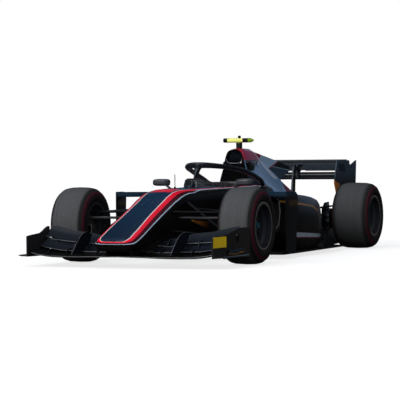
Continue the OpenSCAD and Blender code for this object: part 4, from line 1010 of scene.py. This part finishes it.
def make_halo():
    ring = [(x, -y, z, r) for x, y, z, r in reversed(HALO_ARM[1:])] + HALO_ARM
    lines = []
    for row in (ring, HALO_PILLAR):
        lines.append(trace([place(x, y, z) for x, y, z, r in row]))
        leave()
    obj = join(lines)
    edit_all(obj, "VERT")
    bpy.ops.mesh.remove_doubles(threshold=LINE_MERGE)
    leave()
    grown = obj.modifiers.new("skin", "SKIN")
    grown.use_smooth_shade = True
    for vertex, tube_size in zip(obj.data.vertices, obj.data.skin_vertices[0].data):
        nearest = min(ring + HALO_PILLAR, key=lambda row: (place(*row[:3]) - vertex.co).length)
        tube_size.radius = (nearest[3] / 1000, nearest[3] / 1000)
    take(obj)
    bpy.ops.object.modifier_apply(modifier=grown.name)
    apply_modifier(obj, "SUBSURF", levels=3, render_levels=3)
    foot = place(*HALO_PILLAR[-1][:3])
    head = place(*HALO_PILLAR[1][:3])
    for vertex in obj.data.vertices:
        share = (head.z + 0.012 - vertex.co.z) / 0.06
        if abs(vertex.co.y) > PILLAR_SIDE or vertex.co.x < row_x(PILLAR_BACK) or share <= 0:
            continue
        share = min(1.0, share)
        along = (vertex.co.z - foot.z) / (head.z - foot.z)
        middle = foot.x + (head.x - foot.x) * along
        vertex.co.y *= 1 + (PILLAR_THIN - 1) * share
        vertex.co.x = middle + (vertex.co.x - middle) * (1 + (PILLAR_DEEP - 1) * share)
    outward(obj)
    settle(obj, "halo_tube", "chassis", HALO_SATIN, ROUND)
    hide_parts("halo")


make_halo()


# Helpers for fitted pieces

def on_skin(node, start, way):
    """Where a straight look at a skin first meets it, with the surface's direction there."""
    bpy.context.view_layer.update()
    hit, where, facing, index = skins[node].ray_cast(start, Vector(way).normalized())
    return (where, facing) if hit else (None, None)


def copies(model, spots):
    """One joined piece from copies of a model, whose top looks along +Z, set on places and directions."""
    made = []
    for where, facing in spots:
        if where is None:
            continue
        obj = bpy.data.objects.new(model.name, model.data.copy())
        scene.collection.objects.link(obj)
        obj.matrix_world = Matrix.Translation(where) @ facing.to_track_quat("Z", "Y").to_matrix().to_4x4()
        made.append(obj)
    return join(made)


def make_stud(radius, tall):
    """A quarter turn fastener: a low dished head with a recess for a tool."""
    clear()
    bpy.ops.mesh.primitive_cylinder_add(vertices=10, radius=radius / 1000, depth=tall / 1000)
    obj = bpy.context.object
    pick(obj, lambda centre, normal: normal.z > 0.9)
    bpy.ops.mesh.inset(thickness=radius * 0.25 / 1000)
    bpy.ops.mesh.inset(thickness=radius * 0.25 / 1000)
    bpy.ops.transform.translate(value=(0, 0, -tall * 0.6 / 1000))
    leave()
    return obj


def make_bolt(radius, tall):
    """A hexagon head on a washer."""
    clear()
    bpy.ops.mesh.primitive_cylinder_add(vertices=12, radius=radius * 1.35 / 1000, depth=tall * 0.4 / 1000)
    obj = bpy.context.object
    bpy.ops.mesh.primitive_cylinder_add(vertices=6, radius=radius / 1000, depth=tall / 1000,
                                        location=(0, 0, tall * 0.5 / 1000))
    head = bpy.context.object
    pick(head, lambda centre, normal: normal.z > 0.9)
    bpy.ops.mesh.inset(thickness=radius * 0.2 / 1000)
    bpy.ops.transform.translate(value=(0, 0, tall * 0.15 / 1000))
    leave()
    return join([obj, head])


def discard(obj):
    bpy.data.objects.remove(obj, do_unlink=True)


stud = make_stud(9, 4)
small_stud = make_stud(6, 3)
bolt = make_bolt(6, 6)
UP = Vector((0, 0, 1))
DOWN = (0, 0, -1)

# Fasteners on the body panels
PANEL_ROW = (-95, -40, 40, 95)
nose_spots = [on_skin("nose", place(x, y, 900), DOWN) for x in (285, 330) for y in PANEL_ROW]
nose_spots += [on_skin("nose", place(285, side * 400, z), (0, -side, 0))
               for side in (-1, 1) for z in (290, 360, 430)]
cell_spots = [on_skin("monocoque", place(235, y, 900), DOWN) for y in PANEL_ROW]
cell_spots += [on_skin("monocoque", place(x, y, 900), DOWN) for x in (-330, -520) for y in (-130, 130)]
cover_spots = [on_skin("engine_cover", place(x, side * 600, 560 - (-1800 - x) * 0.17), (0, -side, 0))
               for side in (-1, 1) for x in range(-2100, -2850, -125)]
cover_spots += [on_skin("engine_cover", place(x, side * 600, 905 + (x + 1700) * 0.05), (0, -side, 0))
                for side in (-1, 1) for x in (-1715, -1860, -2000)]
pod_spots = [on_skin("sidepods", place(x, side * (350 + 30 * (x < -1400)), 900), DOWN)
             for side in (-1, 1) for x in range(-1180, -2700, -190)]
floor_spots = [on_skin("floor", place(x, side * 786, 300), DOWN)
               for side in (-1, 1) for x in range(-1150, -2600, -120)]
for name, model, spots in (("nose_fasteners", stud, nose_spots), ("cell_fasteners", stud, cell_spots),
                           ("cover_fasteners", stud, cover_spots), ("pod_fasteners", stud, pod_spots),
                           ("floor_bolts", small_stud, floor_spots)):
    settle(copies(model, spots), name, "chassis", STEEL)

# Pale edges of the front wing and the strakes' edges, thin tubes in a painted highlight: node, radius, line
# of its left half
EDGES = {
    "main_edge": ("front_wing_main", 4.0, [
        (853, 826, 125), (862, 766, 108), (872, 640, 95), (900, 420, 93), (925, 230, 97), (930, 0, 101)]),
    "lower_flap_edge": ("front_wing_flaps", 2.4, [
        (646, 842, 177), (650, 806, 161), (660, 640, 135), (664, 420, 129), (668, 184, 123)]),
    "upper_flap_edge": ("front_wing_flaps", 3.6, [
        (504, 868, 251), (508, 806, 239), (520, 640, 205), (522, 460, 195), (520, 300, 183),
        (520, 184, 177)]),
    "strake_edge": ("front_wing_flaps", 2.2, [
        (856, 450, 114), (812, 450, 152), (752, 450, 208), (690, 450, 254), (620, 450, 284),
        (560, 450, 290)])}
PROUD = Vector((0.0008, 0, 0))


def foremost(node, x, y, z, reach=16):
    """The point of a skin furthest ahead near a station, found by looking back at it along level lines."""
    best = place(x, y, z)
    for step in range(-reach, reach + 1):
        where, facing = on_skin(node, place(x + 24, y, z + step), (-1, 0, 0))
        if where is not None and where.x > best.x:
            best = where
    return best


for name, (node, radius, line) in EDGES.items():
    spots = [place(*row) if name == "strake_edge" else foremost(node, *row) for row in line]
    edge = tube([where + PROUD for where in spots], radius)
    left = settle(edge, name + "_left", "chassis", EDGE_HIGHLIGHT)
    settle(mirrored(left), name + "_right", "chassis", EDGE_HIGHLIGHT)

# Second element in the slot over the main plane, with a painted highlight along its upper edge
SPANS = (-420, -250, -185, -120, 0, 120, 185, 250, 420)
slot_front = [on_skin("front_wing_main", place(735, y, 400), DOWN)[0] for y in SPANS]
slot_back = [place(676, y, 134 if abs(y) < 150 else 122) for y in SPANS]
second = plate(slot_front + slot_back[::-1], Vector((0.001, 0, 0.003)))
settle(second, "front_wing_second", "chassis", WING_CARBON)
second_edge = tube([where + Vector((0, 0, 0.002)) for where in slot_back], 1.8)
settle(second_edge, "second_edge", "chassis", EDGE_HIGHLIGHT, ROUND)

# Brackets that hold the flaps over the main plane
LOW_BRACKET = ((724, 112), (650, 116), (604, 146), (640, 152), (690, 138))
HIGH_BRACKET = ((566, 168), (508, 186), (474, 224), (500, 232), (540, 202))
brackets = [plate([place(x, y, z) for x, z in outline], Vector((0, 0.005, 0)))
            for y in (290, 570, 740) for outline in (LOW_BRACKET, HIGH_BRACKET)]
bracket = settle(join(brackets), "flap_brackets_left", "chassis", CARBON)
settle(mirrored(bracket), "flap_brackets_right", "chassis", CARBON)


# Front endplates: two round vents whose cups are painted near black as shade, a rolled foot painted lighter
# for the sky light on it, and a swept fin with a gold lower line

def endplate_y(x, z, side):
    where, facing = on_skin("front_wing_endplates", place(x, side * 1200, z), (0, -side, 0))
    return where.y * 1000


FOOT_LINE = [(858, 918), (800, 919), (700, 921), (600, 923), (500, 928), (400, 930), (334, 930)]
FIN_OUTLINE = [(640, 850, 124), (520, 868, 116), (400, 888, 134), (345, 900, 176), (420, 888, 158),
               (540, 868, 146)]
FIN_LINE = [(625, 874, 120), (520, 892, 113), (402, 911, 131), (350, 922, 172)]
for side, word in SIDES:
    vents = []
    cups = []
    for x, z, r in ((472, 248, 32), (628, 138, 21)):
        y = endplate_y(x, z, side)
        ring = ((-4, r - 5), (2, r - 4), (4, r), (2, r + 4), (-4, r + 5))
        cup = ((1.0, 0.5), (1.0, r - 3), (-3, r - 3), (-3, 0.5))
        for made, profile in ((vents, ring), (cups, cup)):
            outline = [place(x, y + side * a, z + b) for a, b in profile]
            made.append(turned(outline, place(x, y, z), (0, 1, 0), 20))
    settle(join(vents), "endplate_vents_" + word, "chassis", CARBON_GLOSS)
    settle(join(cups), "endplate_cups_" + word, "chassis", VENT_SHADE)
    # The foot roll's colour is painted sky light
    roll = tube([place(x, side * y, 97) for x, y in FOOT_LINE], 9, 3)
    settle(roll, "endplate_foot_" + word, "chassis", FOOT_SKYLIGHT, ROUND)
    fin = plate([place(x, side * y, z) for x, y, z in FIN_OUTLINE], Vector((0, side * 0.022, 0.004)))
    soften(fin, 4)
    settle(fin, "endplate_fin_" + word, "chassis", FIN_BLUE)
    line = tube([place(x, side * y, z) for x, y, z in FIN_LINE], 3)
    gold = finish("gold_line_" + word, GOLD, rough=0.4)
    settle(line, "endplate_line_" + word, "chassis", gold)

# Sidepod inlets and airbox: pale lips round the mouths, in a painted highlight
LIP_RING = [(352, 300), (348, 420), (356, 520), (392, 553), (520, 560), (636, 553), (680, 520), (690, 420),
            (676, 300), (636, 252), (520, 240), (400, 250), (352, 300)]
MOUTH = [(-80, 905), (-74, 882), (-58, 868), (-30, 862), (0, 861), (30, 862), (58, 868), (74, 882), (80, 905)]
inlet_lip = tube([place(-1072, y, z) for y, z in LIP_RING], 4.5)
lip = settle(inlet_lip, "inlet_lip_left", "chassis", EDGE_HIGHLIGHT, ROUND)
settle(mirrored(lip), "inlet_lip_right", "chassis", EDGE_HIGHLIGHT, ROUND)
settle(tube([place(-1682, y, z) for y, z in MOUTH], 4.5), "airbox_lip", "chassis", EDGE_HIGHLIGHT, ROUND)

# Ear inlets beside the airbox
for side, word in SIDES:
    ear = block(place(-1800, side * 112, 834), (140, 52, 92), 16, 3)
    pick(ear, lambda centre, normal: normal.x > 0.95)
    bpy.ops.mesh.inset(thickness=0.006)
    bpy.ops.mesh.extrude_region_move(TRANSFORM_OT_translate={"value": (-0.08, 0, 0)})
    leave()
    pick(ear, lambda centre, normal: normal.x < -0.95)
    bpy.ops.transform.resize(value=(1, 0.25, 0.3))
    bpy.ops.transform.translate(value=(-0.17, -side * 0.02, 0.045))
    leave()
    settle(ear, "ear_inlet_" + word, "chassis", CARBON_GLOSS)

# Camera lenses in the roll hoop pod
LENS_RIM = ((0, 8), (6, 9), (7, 12), (5, 14), (0, 14))
LENS_DOME = ((5, 0.3), (4, 5), (2, 8.5), (-1, 8.5), (-1, 0.3))
for name, profile, material, slot in (("camera_rings", LENS_RIM, AERIAL, "camera"),
                                      ("camera_lenses", LENS_DOME, CAMERA_LENS, "glass")):
    pair = []
    for y in (-124, 78):
        outline = [place(-1775 + a, y, 1081 + b) for a, b in profile]
        pair.append(turned(outline, place(-1775, y, 1081), (1, 0, 0), 20))
    settle(join(pair), name, "chassis", material)

# Halo feet
feet = []
foot_bolts = []
for side in (1, -1):
    feet.append(block(place(-1728, side * 268, 634), (150, 66, 26), 9, 3))
    foot_bolts += [(place(-1728 + dx, side * 268 + dy, 647), UP) for dx in (-55, 55) for dy in (-20, 20)]
feet.append(block(place(-644, 0, 644), (104, 64, 10), 4, 2))
foot_bolts += [(place(-644 + dx, dy, 649), UP) for dx in (-42, 42) for dy in (-24, 24)]
settle(join(feet), "halo_feet", "chassis", STEEL)
settle(copies(bolt, foot_bolts), "halo_bolts", "chassis", STEEL)

# Wind deflector: a low curved screen round the front of the cockpit opening, lower at its two ends
SCREEN_MIDDLE = -822
SCREEN_FOOT = 634
SCREEN_TALL = 90
SCREEN_STEPS = 48
SCREEN_HALF_ARC = 102
END_DROP = 42
LEVEL_PART = 0.3


def screen_row(radius, high):
    row = []
    for k in range(SCREEN_STEPS + 1):
        share = 2 * k / SCREEN_STEPS - 1
        turn = math.radians(SCREEN_HALF_ARC * share)
        outer = max(0.0, abs(share) - LEVEL_PART) / (1 - LEVEL_PART)
        drop = END_DROP * outer * (high - SCREEN_FOOT) / SCREEN_TALL
        row.append(place(SCREEN_MIDDLE + radius * math.cos(turn), radius * math.sin(turn), high - drop))
    return row


screen_rows = [screen_row(*given) for given in ((140, 634), (137, 672), (131, 706), (126, 724))]
bands = []
for row in screen_rows:
    bands.append(trace(row))
    leave()
deflector = join(bands)
edit_all(deflector, "EDGE")
bpy.ops.mesh.bridge_edge_loops()
bpy.ops.mesh.normals_make_consistent(inside=False)
leave()
apply_modifier(deflector, "SOLIDIFY", thickness=0.004, offset=0)
soften(deflector, 1.2)
settle(deflector, "wind_deflector", "chassis", TINTED, 40)
rim_line = [row[0] for row in screen_rows[:3]] + screen_rows[3] + [row[-1] for row in screen_rows[2::-1]]
settle(tube(rim_line, 4), "deflector_rim", "chassis", HALO_SATIN, ROUND)

# Brake calipers: a bridge over each disc, with a bracket to its upright
BRIDGE = [(-24, 96), (-24, 149), (50, 149), (50, 96), (32, 96), (32, 143), (-4, 143), (-4, 96)]
BRIDGE_START = math.radians(238)
BRIDGE_ARC = math.radians(64)
FRONT_DISC = -30.8
REAR_DISC = -110.8
for corner, (x, y, half, body) in WHEELS.items():
    side = 1 if y > 0 else -1
    front = corner[0] == "f"
    disc = FRONT_DISC if front else REAR_DISC
    carrier = ("knuckle_left" if side > 0 else "knuckle_right") if front else "chassis"
    outline = [place(x + r * math.sin(BRIDGE_START), y + side * (disc + a),
                     AXLE_Z + r * math.cos(BRIDGE_START)) for a, r in BRIDGE]
    bridge = turned(outline, place(x, y, AXLE_Z), (0, 1, 0), 12, BRIDGE_ARC)
    soften(bridge, 3)
    bracket = block(place(x - 76, y + side * (disc - 18), AXLE_Z), (64, 12, 50), 4, 2)
    settle(join([bridge, bracket]), "caliper_" + corner, carrier, CALIPER)

# Front brake ducts: a rolled lip round each mouth, pale as a painted highlight
DUCT = [(-172, 2), (-122, 2), (-118, -4), (-118, -58), (-122, -66), (-172, -66), (-176, -58), (-176, -4),
        (-172, 2)]
for side, word in SIDES:
    ring = tube([place(149, side * (FRONT_TRACK + y), AXLE_Z + z) for y, z in DUCT], 4)
    settle(ring, "duct_lip_" + word, "knuckle_" + word, EDGE_HIGHLIGHT, ROUND)

# Rear brake ducts: a fence inboard of each rear wheel with a stack of small wings
FENCE = [(295, 250), (280, 400), (200, 462), (60, 470), (48, 420), (48, 190), (100, 150), (215, 160)]
END_FENCE = [(276, 196), (276, 386), (68, 410), (64, 222)]
SMALL_WING = [(272, 473, 0), (272, 546, 0), (170, 546, 6), (70, 546, 24), (70, 473, 24), (170, 473, 6)]
for side, word in SIDES:
    stack = [plate([place(REAR + x, side * 470, z) for x, z in FENCE], Vector((0, side * 0.005, 0)))]
    for low in (205, 262, 319, 376):
        corners = [place(REAR + x, side * y, low + z) for x, y, z in SMALL_WING]
        stack.append(plate(corners, Vector((0, 0, 0.003))))
    stack.append(plate([place(REAR + x, side * 546, z) for x, z in END_FENCE], Vector((0, side * 0.003, 0))))
    fence = join(stack)
    soften(fence, 1.2)
    settle(fence, "rear_duct_" + word, "chassis", CARBON_GLOSS)

# Driveshaft boots: radius and side of each pleat
PLEATS = [(20, 158), (34, 160), (38, 168), (30, 174), (36, 182), (28, 188), (33, 196), (25, 202), (29, 210),
          (20, 216), (17, 216), (17, 158)]
for corner in ("rl", "rr"):
    x, y, half, body = WHEELS[corner]
    side = 1 if y > 0 else -1
    boot = turned([place(x, side * a, AXLE_Z + r) for r, a in PLEATS], place(x, 0, AXLE_Z), (0, 1, 0), 24)
    settle(boot, "shaft_boot_" + corner, body, GRIP)

# Rear wing: edge strip in a painted highlight and round nose on the flap, louvres on the endplates, bolts on
# the mount
STRIP = [(-3768, -440, 884), (-3768, 440, 884), (-3760, 440, 897), (-3760, -440, 897)]
strip = plate([place(*corner) for corner in STRIP], Vector((0.0025, 0, -0.0015)))
settle(strip, "flap_edge_strip", "rear_flap", EDGE_HIGHLIGHT)
half_nose = [tube([place(-3644, side * y, 784) for y in (24, 165, 306, 448)], 5) for side in (1, -1)]
settle(join(half_nose), "flap_nose", "rear_flap", FLAP_GREY, ROUND)
SLAT = [(0, 850), (-16, 846), (-46, 770), (-30, 774)]
for side, word in SIDES:
    slats = []
    for x in (-3450, -3496, -3542, -3588):
        outline = [place(x + dx, side * 460, z) for dx, z in SLAT]
        slats.append(plate(outline, Vector((0, side * 0.004, 0))))
    settle(join(slats), "endplate_louvres_" + word, "chassis", CARBON_GLOSS)
neck_spots = [(place(-3520, side * 8, z), Vector((0, side, 0))) for side in (1, -1) for z in (760, 780)]
settle(copies(bolt, neck_spots), "neck_bolts", "chassis", STEEL)

# Gearbox ribs and the frame of the tail lamp
ribs = []
for side in (1, -1):
    for x in (-2800, -2900, -3000, -3210):
        where, facing = on_skin("gearbox", place(x, side * 500, 300), (0, -side, 0))
        if where:
            ribs.append(block(where, (12, 14, 150), 3, 2))
settle(join(ribs), "gearbox_ribs", "chassis", CAST)
LAMP_RING = [(-46, 321), (46, 321), (46, 377), (-46, 377), (-46, 321)]
settle(tube([place(-3984, y, z) for y, z in LAMP_RING], 4), "lamp_frame", "chassis", AERIAL)

# Floor stays
stays = []
for side in (1, -1):
    for x, high in ((-2380, 454), (-2560, 400)):
        stays.append(tube([place(x, side * 700, 52), place(x + 30, side * 480, high)], 4))
settle(join(stays), "floor_stays", "chassis", STEEL)

# Steering wheel: grips, blank display, buttons, dials and gear paddles, drawn flat and then set on the column
COLUMN = Matrix.Translation(place(-905, 0, 556)) @ Matrix.Rotation(math.radians(103), 4, "Y")
TO_SEAT = Vector((0, 0, -1))


def flat(x, y, z):
    return Vector((x, y, z)) / 1000


def on_column(obj, name, material):
    obj.matrix_world = COLUMN
    settle(obj, name, "steering_control", material)


GRIP_LINE = [(-58, 104), (-40, 120), (-10, 125), (20, 122), (46, 116), (60, 104)]
PADDLE = [(-40, 40), (-46, 100), (-14, 112), (6, 96), (0, 40)]
grips = []
for side in (1, -1):
    grip = tube([flat(x, side * y, -15) for x, y in GRIP_LINE], 17, 4)
    soften(grip, 4)
    grips.append(grip)
on_column(join(grips), "wheel_grips", GRIP)
panel = block(flat(-24, 0, -34.5), (58, 92, 11), 3, 2)
pick(panel, lambda centre, normal: normal.z < -0.95)
bpy.ops.mesh.inset(thickness=0.006)
bpy.ops.mesh.extrude_region_move(TRANSFORM_OT_translate={"value": (0, 0, 0.003)})
leave()
on_column(panel, "wheel_display", SCREEN)
keys = [(x, side * y) for side in (1, -1) for x, y in ((-44, 62), (-22, 62), (2, 60), (24, 44))]
key_model = make_stud(8, 8)
buttons = copies(key_model, [(flat(x, y, -33), TO_SEAT) for x, y in keys])
on_column(buttons, "wheel_buttons", RED_LEVER)
dial_model = make_bolt(10, 12)
dials = copies(dial_model, [(flat(x, y, -32), TO_SEAT) for x, y in ((44, -44), (48, 0), (44, 44), (22, 0))])
on_column(dials, "wheel_dials", STEEL)
paddles = []
for side in (1, -1):
    paddle = plate([flat(x, side * y, 10) for x, y in PADDLE], Vector((0, 0, 0.005)))
    soften(paddle, 1.5)
    paddles.append(paddle)
on_column(join(paddles), "gear_paddles", CARBON)


# Soft pads of the cockpit, blown up a little as cloth and held near the drawn shape

PRESSURE = 4
STIFFNESS = 20
CLOTH_FRAMES = 20


def cushion(node, name, material, voxel, limit):
    obj = merged_copy(node, name)
    apply_modifier(obj, "REMESH", mode="VOXEL", voxel_size=voxel / 1000)
    apply_modifier(obj, "SMOOTH", factor=0.5, iterations=3)
    drawn = [vertex.co.copy() for vertex in obj.data.vertices]
    cloth = obj.modifiers.new("cloth", "CLOTH")
    cloth.settings.use_pressure = True
    cloth.settings.uniform_pressure_force = PRESSURE
    cloth.settings.effector_weights.gravity = 0
    cloth.settings.tension_stiffness = STIFFNESS
    cloth.settings.compression_stiffness = STIFFNESS
    cloth.point_cache.frame_start = 1
    cloth.point_cache.frame_end = CLOTH_FRAMES
    for step in range(1, CLOTH_FRAMES + 1):
        scene.frame_set(step)
    take(obj)
    bpy.ops.object.modifier_apply(modifier=cloth.name)
    scene.frame_set(1)
    for vertex, start in zip(obj.data.vertices, drawn):
        moved = vertex.co - start
        if moved.length > limit / 1000:
            vertex.co = start + moved.normalized() * limit / 1000
    apply_modifier(obj, "SUBSURF", levels=1, render_levels=1)
    settle(obj, name, "chassis", material, 80)
    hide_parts(node)


cushion("headrest", "headrest_pad", PAD, 9, 4)
cushion("seat", "seat_pad", PAD, 9, 3)

# Harness: shoulder, lap and centre straps with their buckle
BACK_LINE = [(-1552, 62, 498), (-1530, 66, 440), (-1492, 66, 350), (-1448, 60, 268), (-1372, 46, 190),
             (-1296, 26, 130)]
LAP_LINE = [(-1352, 158, 190), (-1322, 110, 142), (-1290, 60, 122), (-1268, 26, 124)]
CENTRE_LINE = [(-1252, 126), (-1200, 116), (-1140, 112), (-1096, 120)]
BUCKLE = [(0.3, 0), (34, 0), (36, 5), (30, 14), (12, 17), (0.3, 17)]
BUCKLE_X = -1272
TONGUES = ((-28, 34), (-28, -34), (4, 44), (4, -44), (40, 0))
straps = []
for side in (1, -1):
    straps.append(strap([place(x, side * y - 24, z + 6) for x, y, z in BACK_LINE], Vector((0, 0.048, 0))))
    straps.append(strap([place(x - 20, side * y, z + 6) for x, y, z in LAP_LINE], Vector((0.046, 0, 0.004))))
straps.append(strap([place(x, -22, z) for x, z in CENTRE_LINE], Vector((0, 0.044, 0))))
settle(join(straps), "harness_straps", "chassis", WEBBING, ROUND)
outline = [place(BUCKLE_X + r, 0, 124 + z) for r, z in BUCKLE]
buckle = turned(outline, place(BUCKLE_X, 0, 124), (0, 0, 1), 24)
tongues = [block(place(BUCKLE_X + dx, dy, 130), (34, 30, 5), 2, 2) for dx, dy in TONGUES]
settle(join([buckle] + tongues), "harness_buckle", "chassis", STEEL)

for model in (stud, small_stud, bolt, key_model, dial_model):
    discard(model)


# Floor, light and camera

clear()
bpy.ops.mesh.primitive_plane_add(size=160, location=(0, 0, 0))
ground = bpy.context.object
ground.name = "studio_floor"
pale = bpy.data.materials.new("studio_floor")
pale.use_nodes = True
pale_tree = pale.node_tree
pale_tree.nodes.remove(pale_tree.nodes["Principled BSDF"])
path = wire(pale_tree, "ShaderNodeLightPath")
matt = wire(pale_tree, "ShaderNodeBsdfDiffuse", {"Color": (0.95, 0.95, 0.95, 1)})
lit = wire(pale_tree, "ShaderNodeEmission", {"Color": (1.0, 1.0, 1.0, 1), "Strength": 1.25})
bright = wire(pale_tree, "ShaderNodeMixShader", {0: 0.6, 1: matt.outputs[0], 2: lit.outputs[0]})
dim = wire(pale_tree, "ShaderNodeBsdfDiffuse", {"Color": (0.022, 0.022, 0.022, 1)})
choose = wire(pale_tree, "ShaderNodeMixShader", {0: path.outputs["Is Camera Ray"], 1: dim.outputs[0],
                                                 2: bright.outputs[0]})
pale_tree.links.new(choose.outputs[0], pale_tree.nodes["Material Output"].inputs["Surface"])
ground.data.materials.append(pale)

world = bpy.data.worlds.new("studio")
scene.world = world
world.use_nodes = True
sky = world.node_tree
sky_path = wire(sky, "ShaderNodeLightPath")
way = wire(sky, "ShaderNodeTexCoord").outputs["Generated"]
way_z = wire(sky, "ShaderNodeSeparateXYZ", {0: way}).outputs[2]


def nearness(x, y, z):
    """How nearly the sky is looked at along a direction."""
    aim = Vector((x, y, z)).normalized()
    return wire(sky, "ShaderNodeVectorMath", {0: way, 1: aim}, operation="DOT_PRODUCT").outputs["Value"]


soft_light = blend(sky, ease(sky, way_z, -0.05, 0.9), (0.11, 0.114, 0.122), (0.36, 0.38, 0.42))
far_sky = both(sky, ease(sky, nearness(-0.92, -0.38, 0.1), 0.45, 0.9), between(sky, way_z, 0.05, 0.42, 0.06))
mirrored_light = coats(sky, (0.006, 0.0065, 0.008), (ease(sky, way_z, 0.62, 1.0), (0.30, 0.35, 0.44)),
                       (ease(sky, nearness(0.42, -0.30, 1.0), 0.93, 0.985), (2.6, 2.7, 2.8)),
                       (far_sky, (0.11, 0.14, 0.19)))
seen_light = blend(sky, sky_path.outputs["Is Glossy Ray"], soft_light, mirrored_light)
shown = blend(sky, sky_path.outputs["Is Camera Ray"], seen_light, (1.0, 1.0, 1.0))
sky.links.new(shown, sky.nodes["Background"].inputs["Color"])
sky.nodes["Background"].inputs["Strength"].default_value = 1.0


def hang_lamp(name, energy, spread, aim):
    """A broad sun lamp that shines along a direction and isn't mirrored."""
    lamp = bpy.data.lights.new(name, "SUN")
    lamp.energy = energy
    lamp.angle = math.radians(spread)
    obj = bpy.data.objects.new(name, lamp)
    scene.collection.objects.link(obj)
    obj.visible_glossy = False
    obj.rotation_euler = Vector(aim).to_track_quat("-Z", "Y").to_euler()


hang_lamp("overhead", 2.6, 50, (-1.0, 0.30, -0.50))
hang_lamp("side_fill", 0.8, 60, (-0.72, -0.66, -0.22))

eye = bpy.data.cameras.new("camera")
eye.lens = 164.892
eye.sensor_width = 36
eye.clip_end = 400
camera = bpy.data.objects.new("camera", eye)
scene.collection.objects.link(camera)
camera.location = (15.9995, 6.4525, 0.8421)
camera.rotation_euler = Euler([math.radians(a) for a in (88.9257, 0.4303, 112.8122)], "XYZ")
scene.camera = camera
scene.view_settings.view_transform = "Standard"

clear()
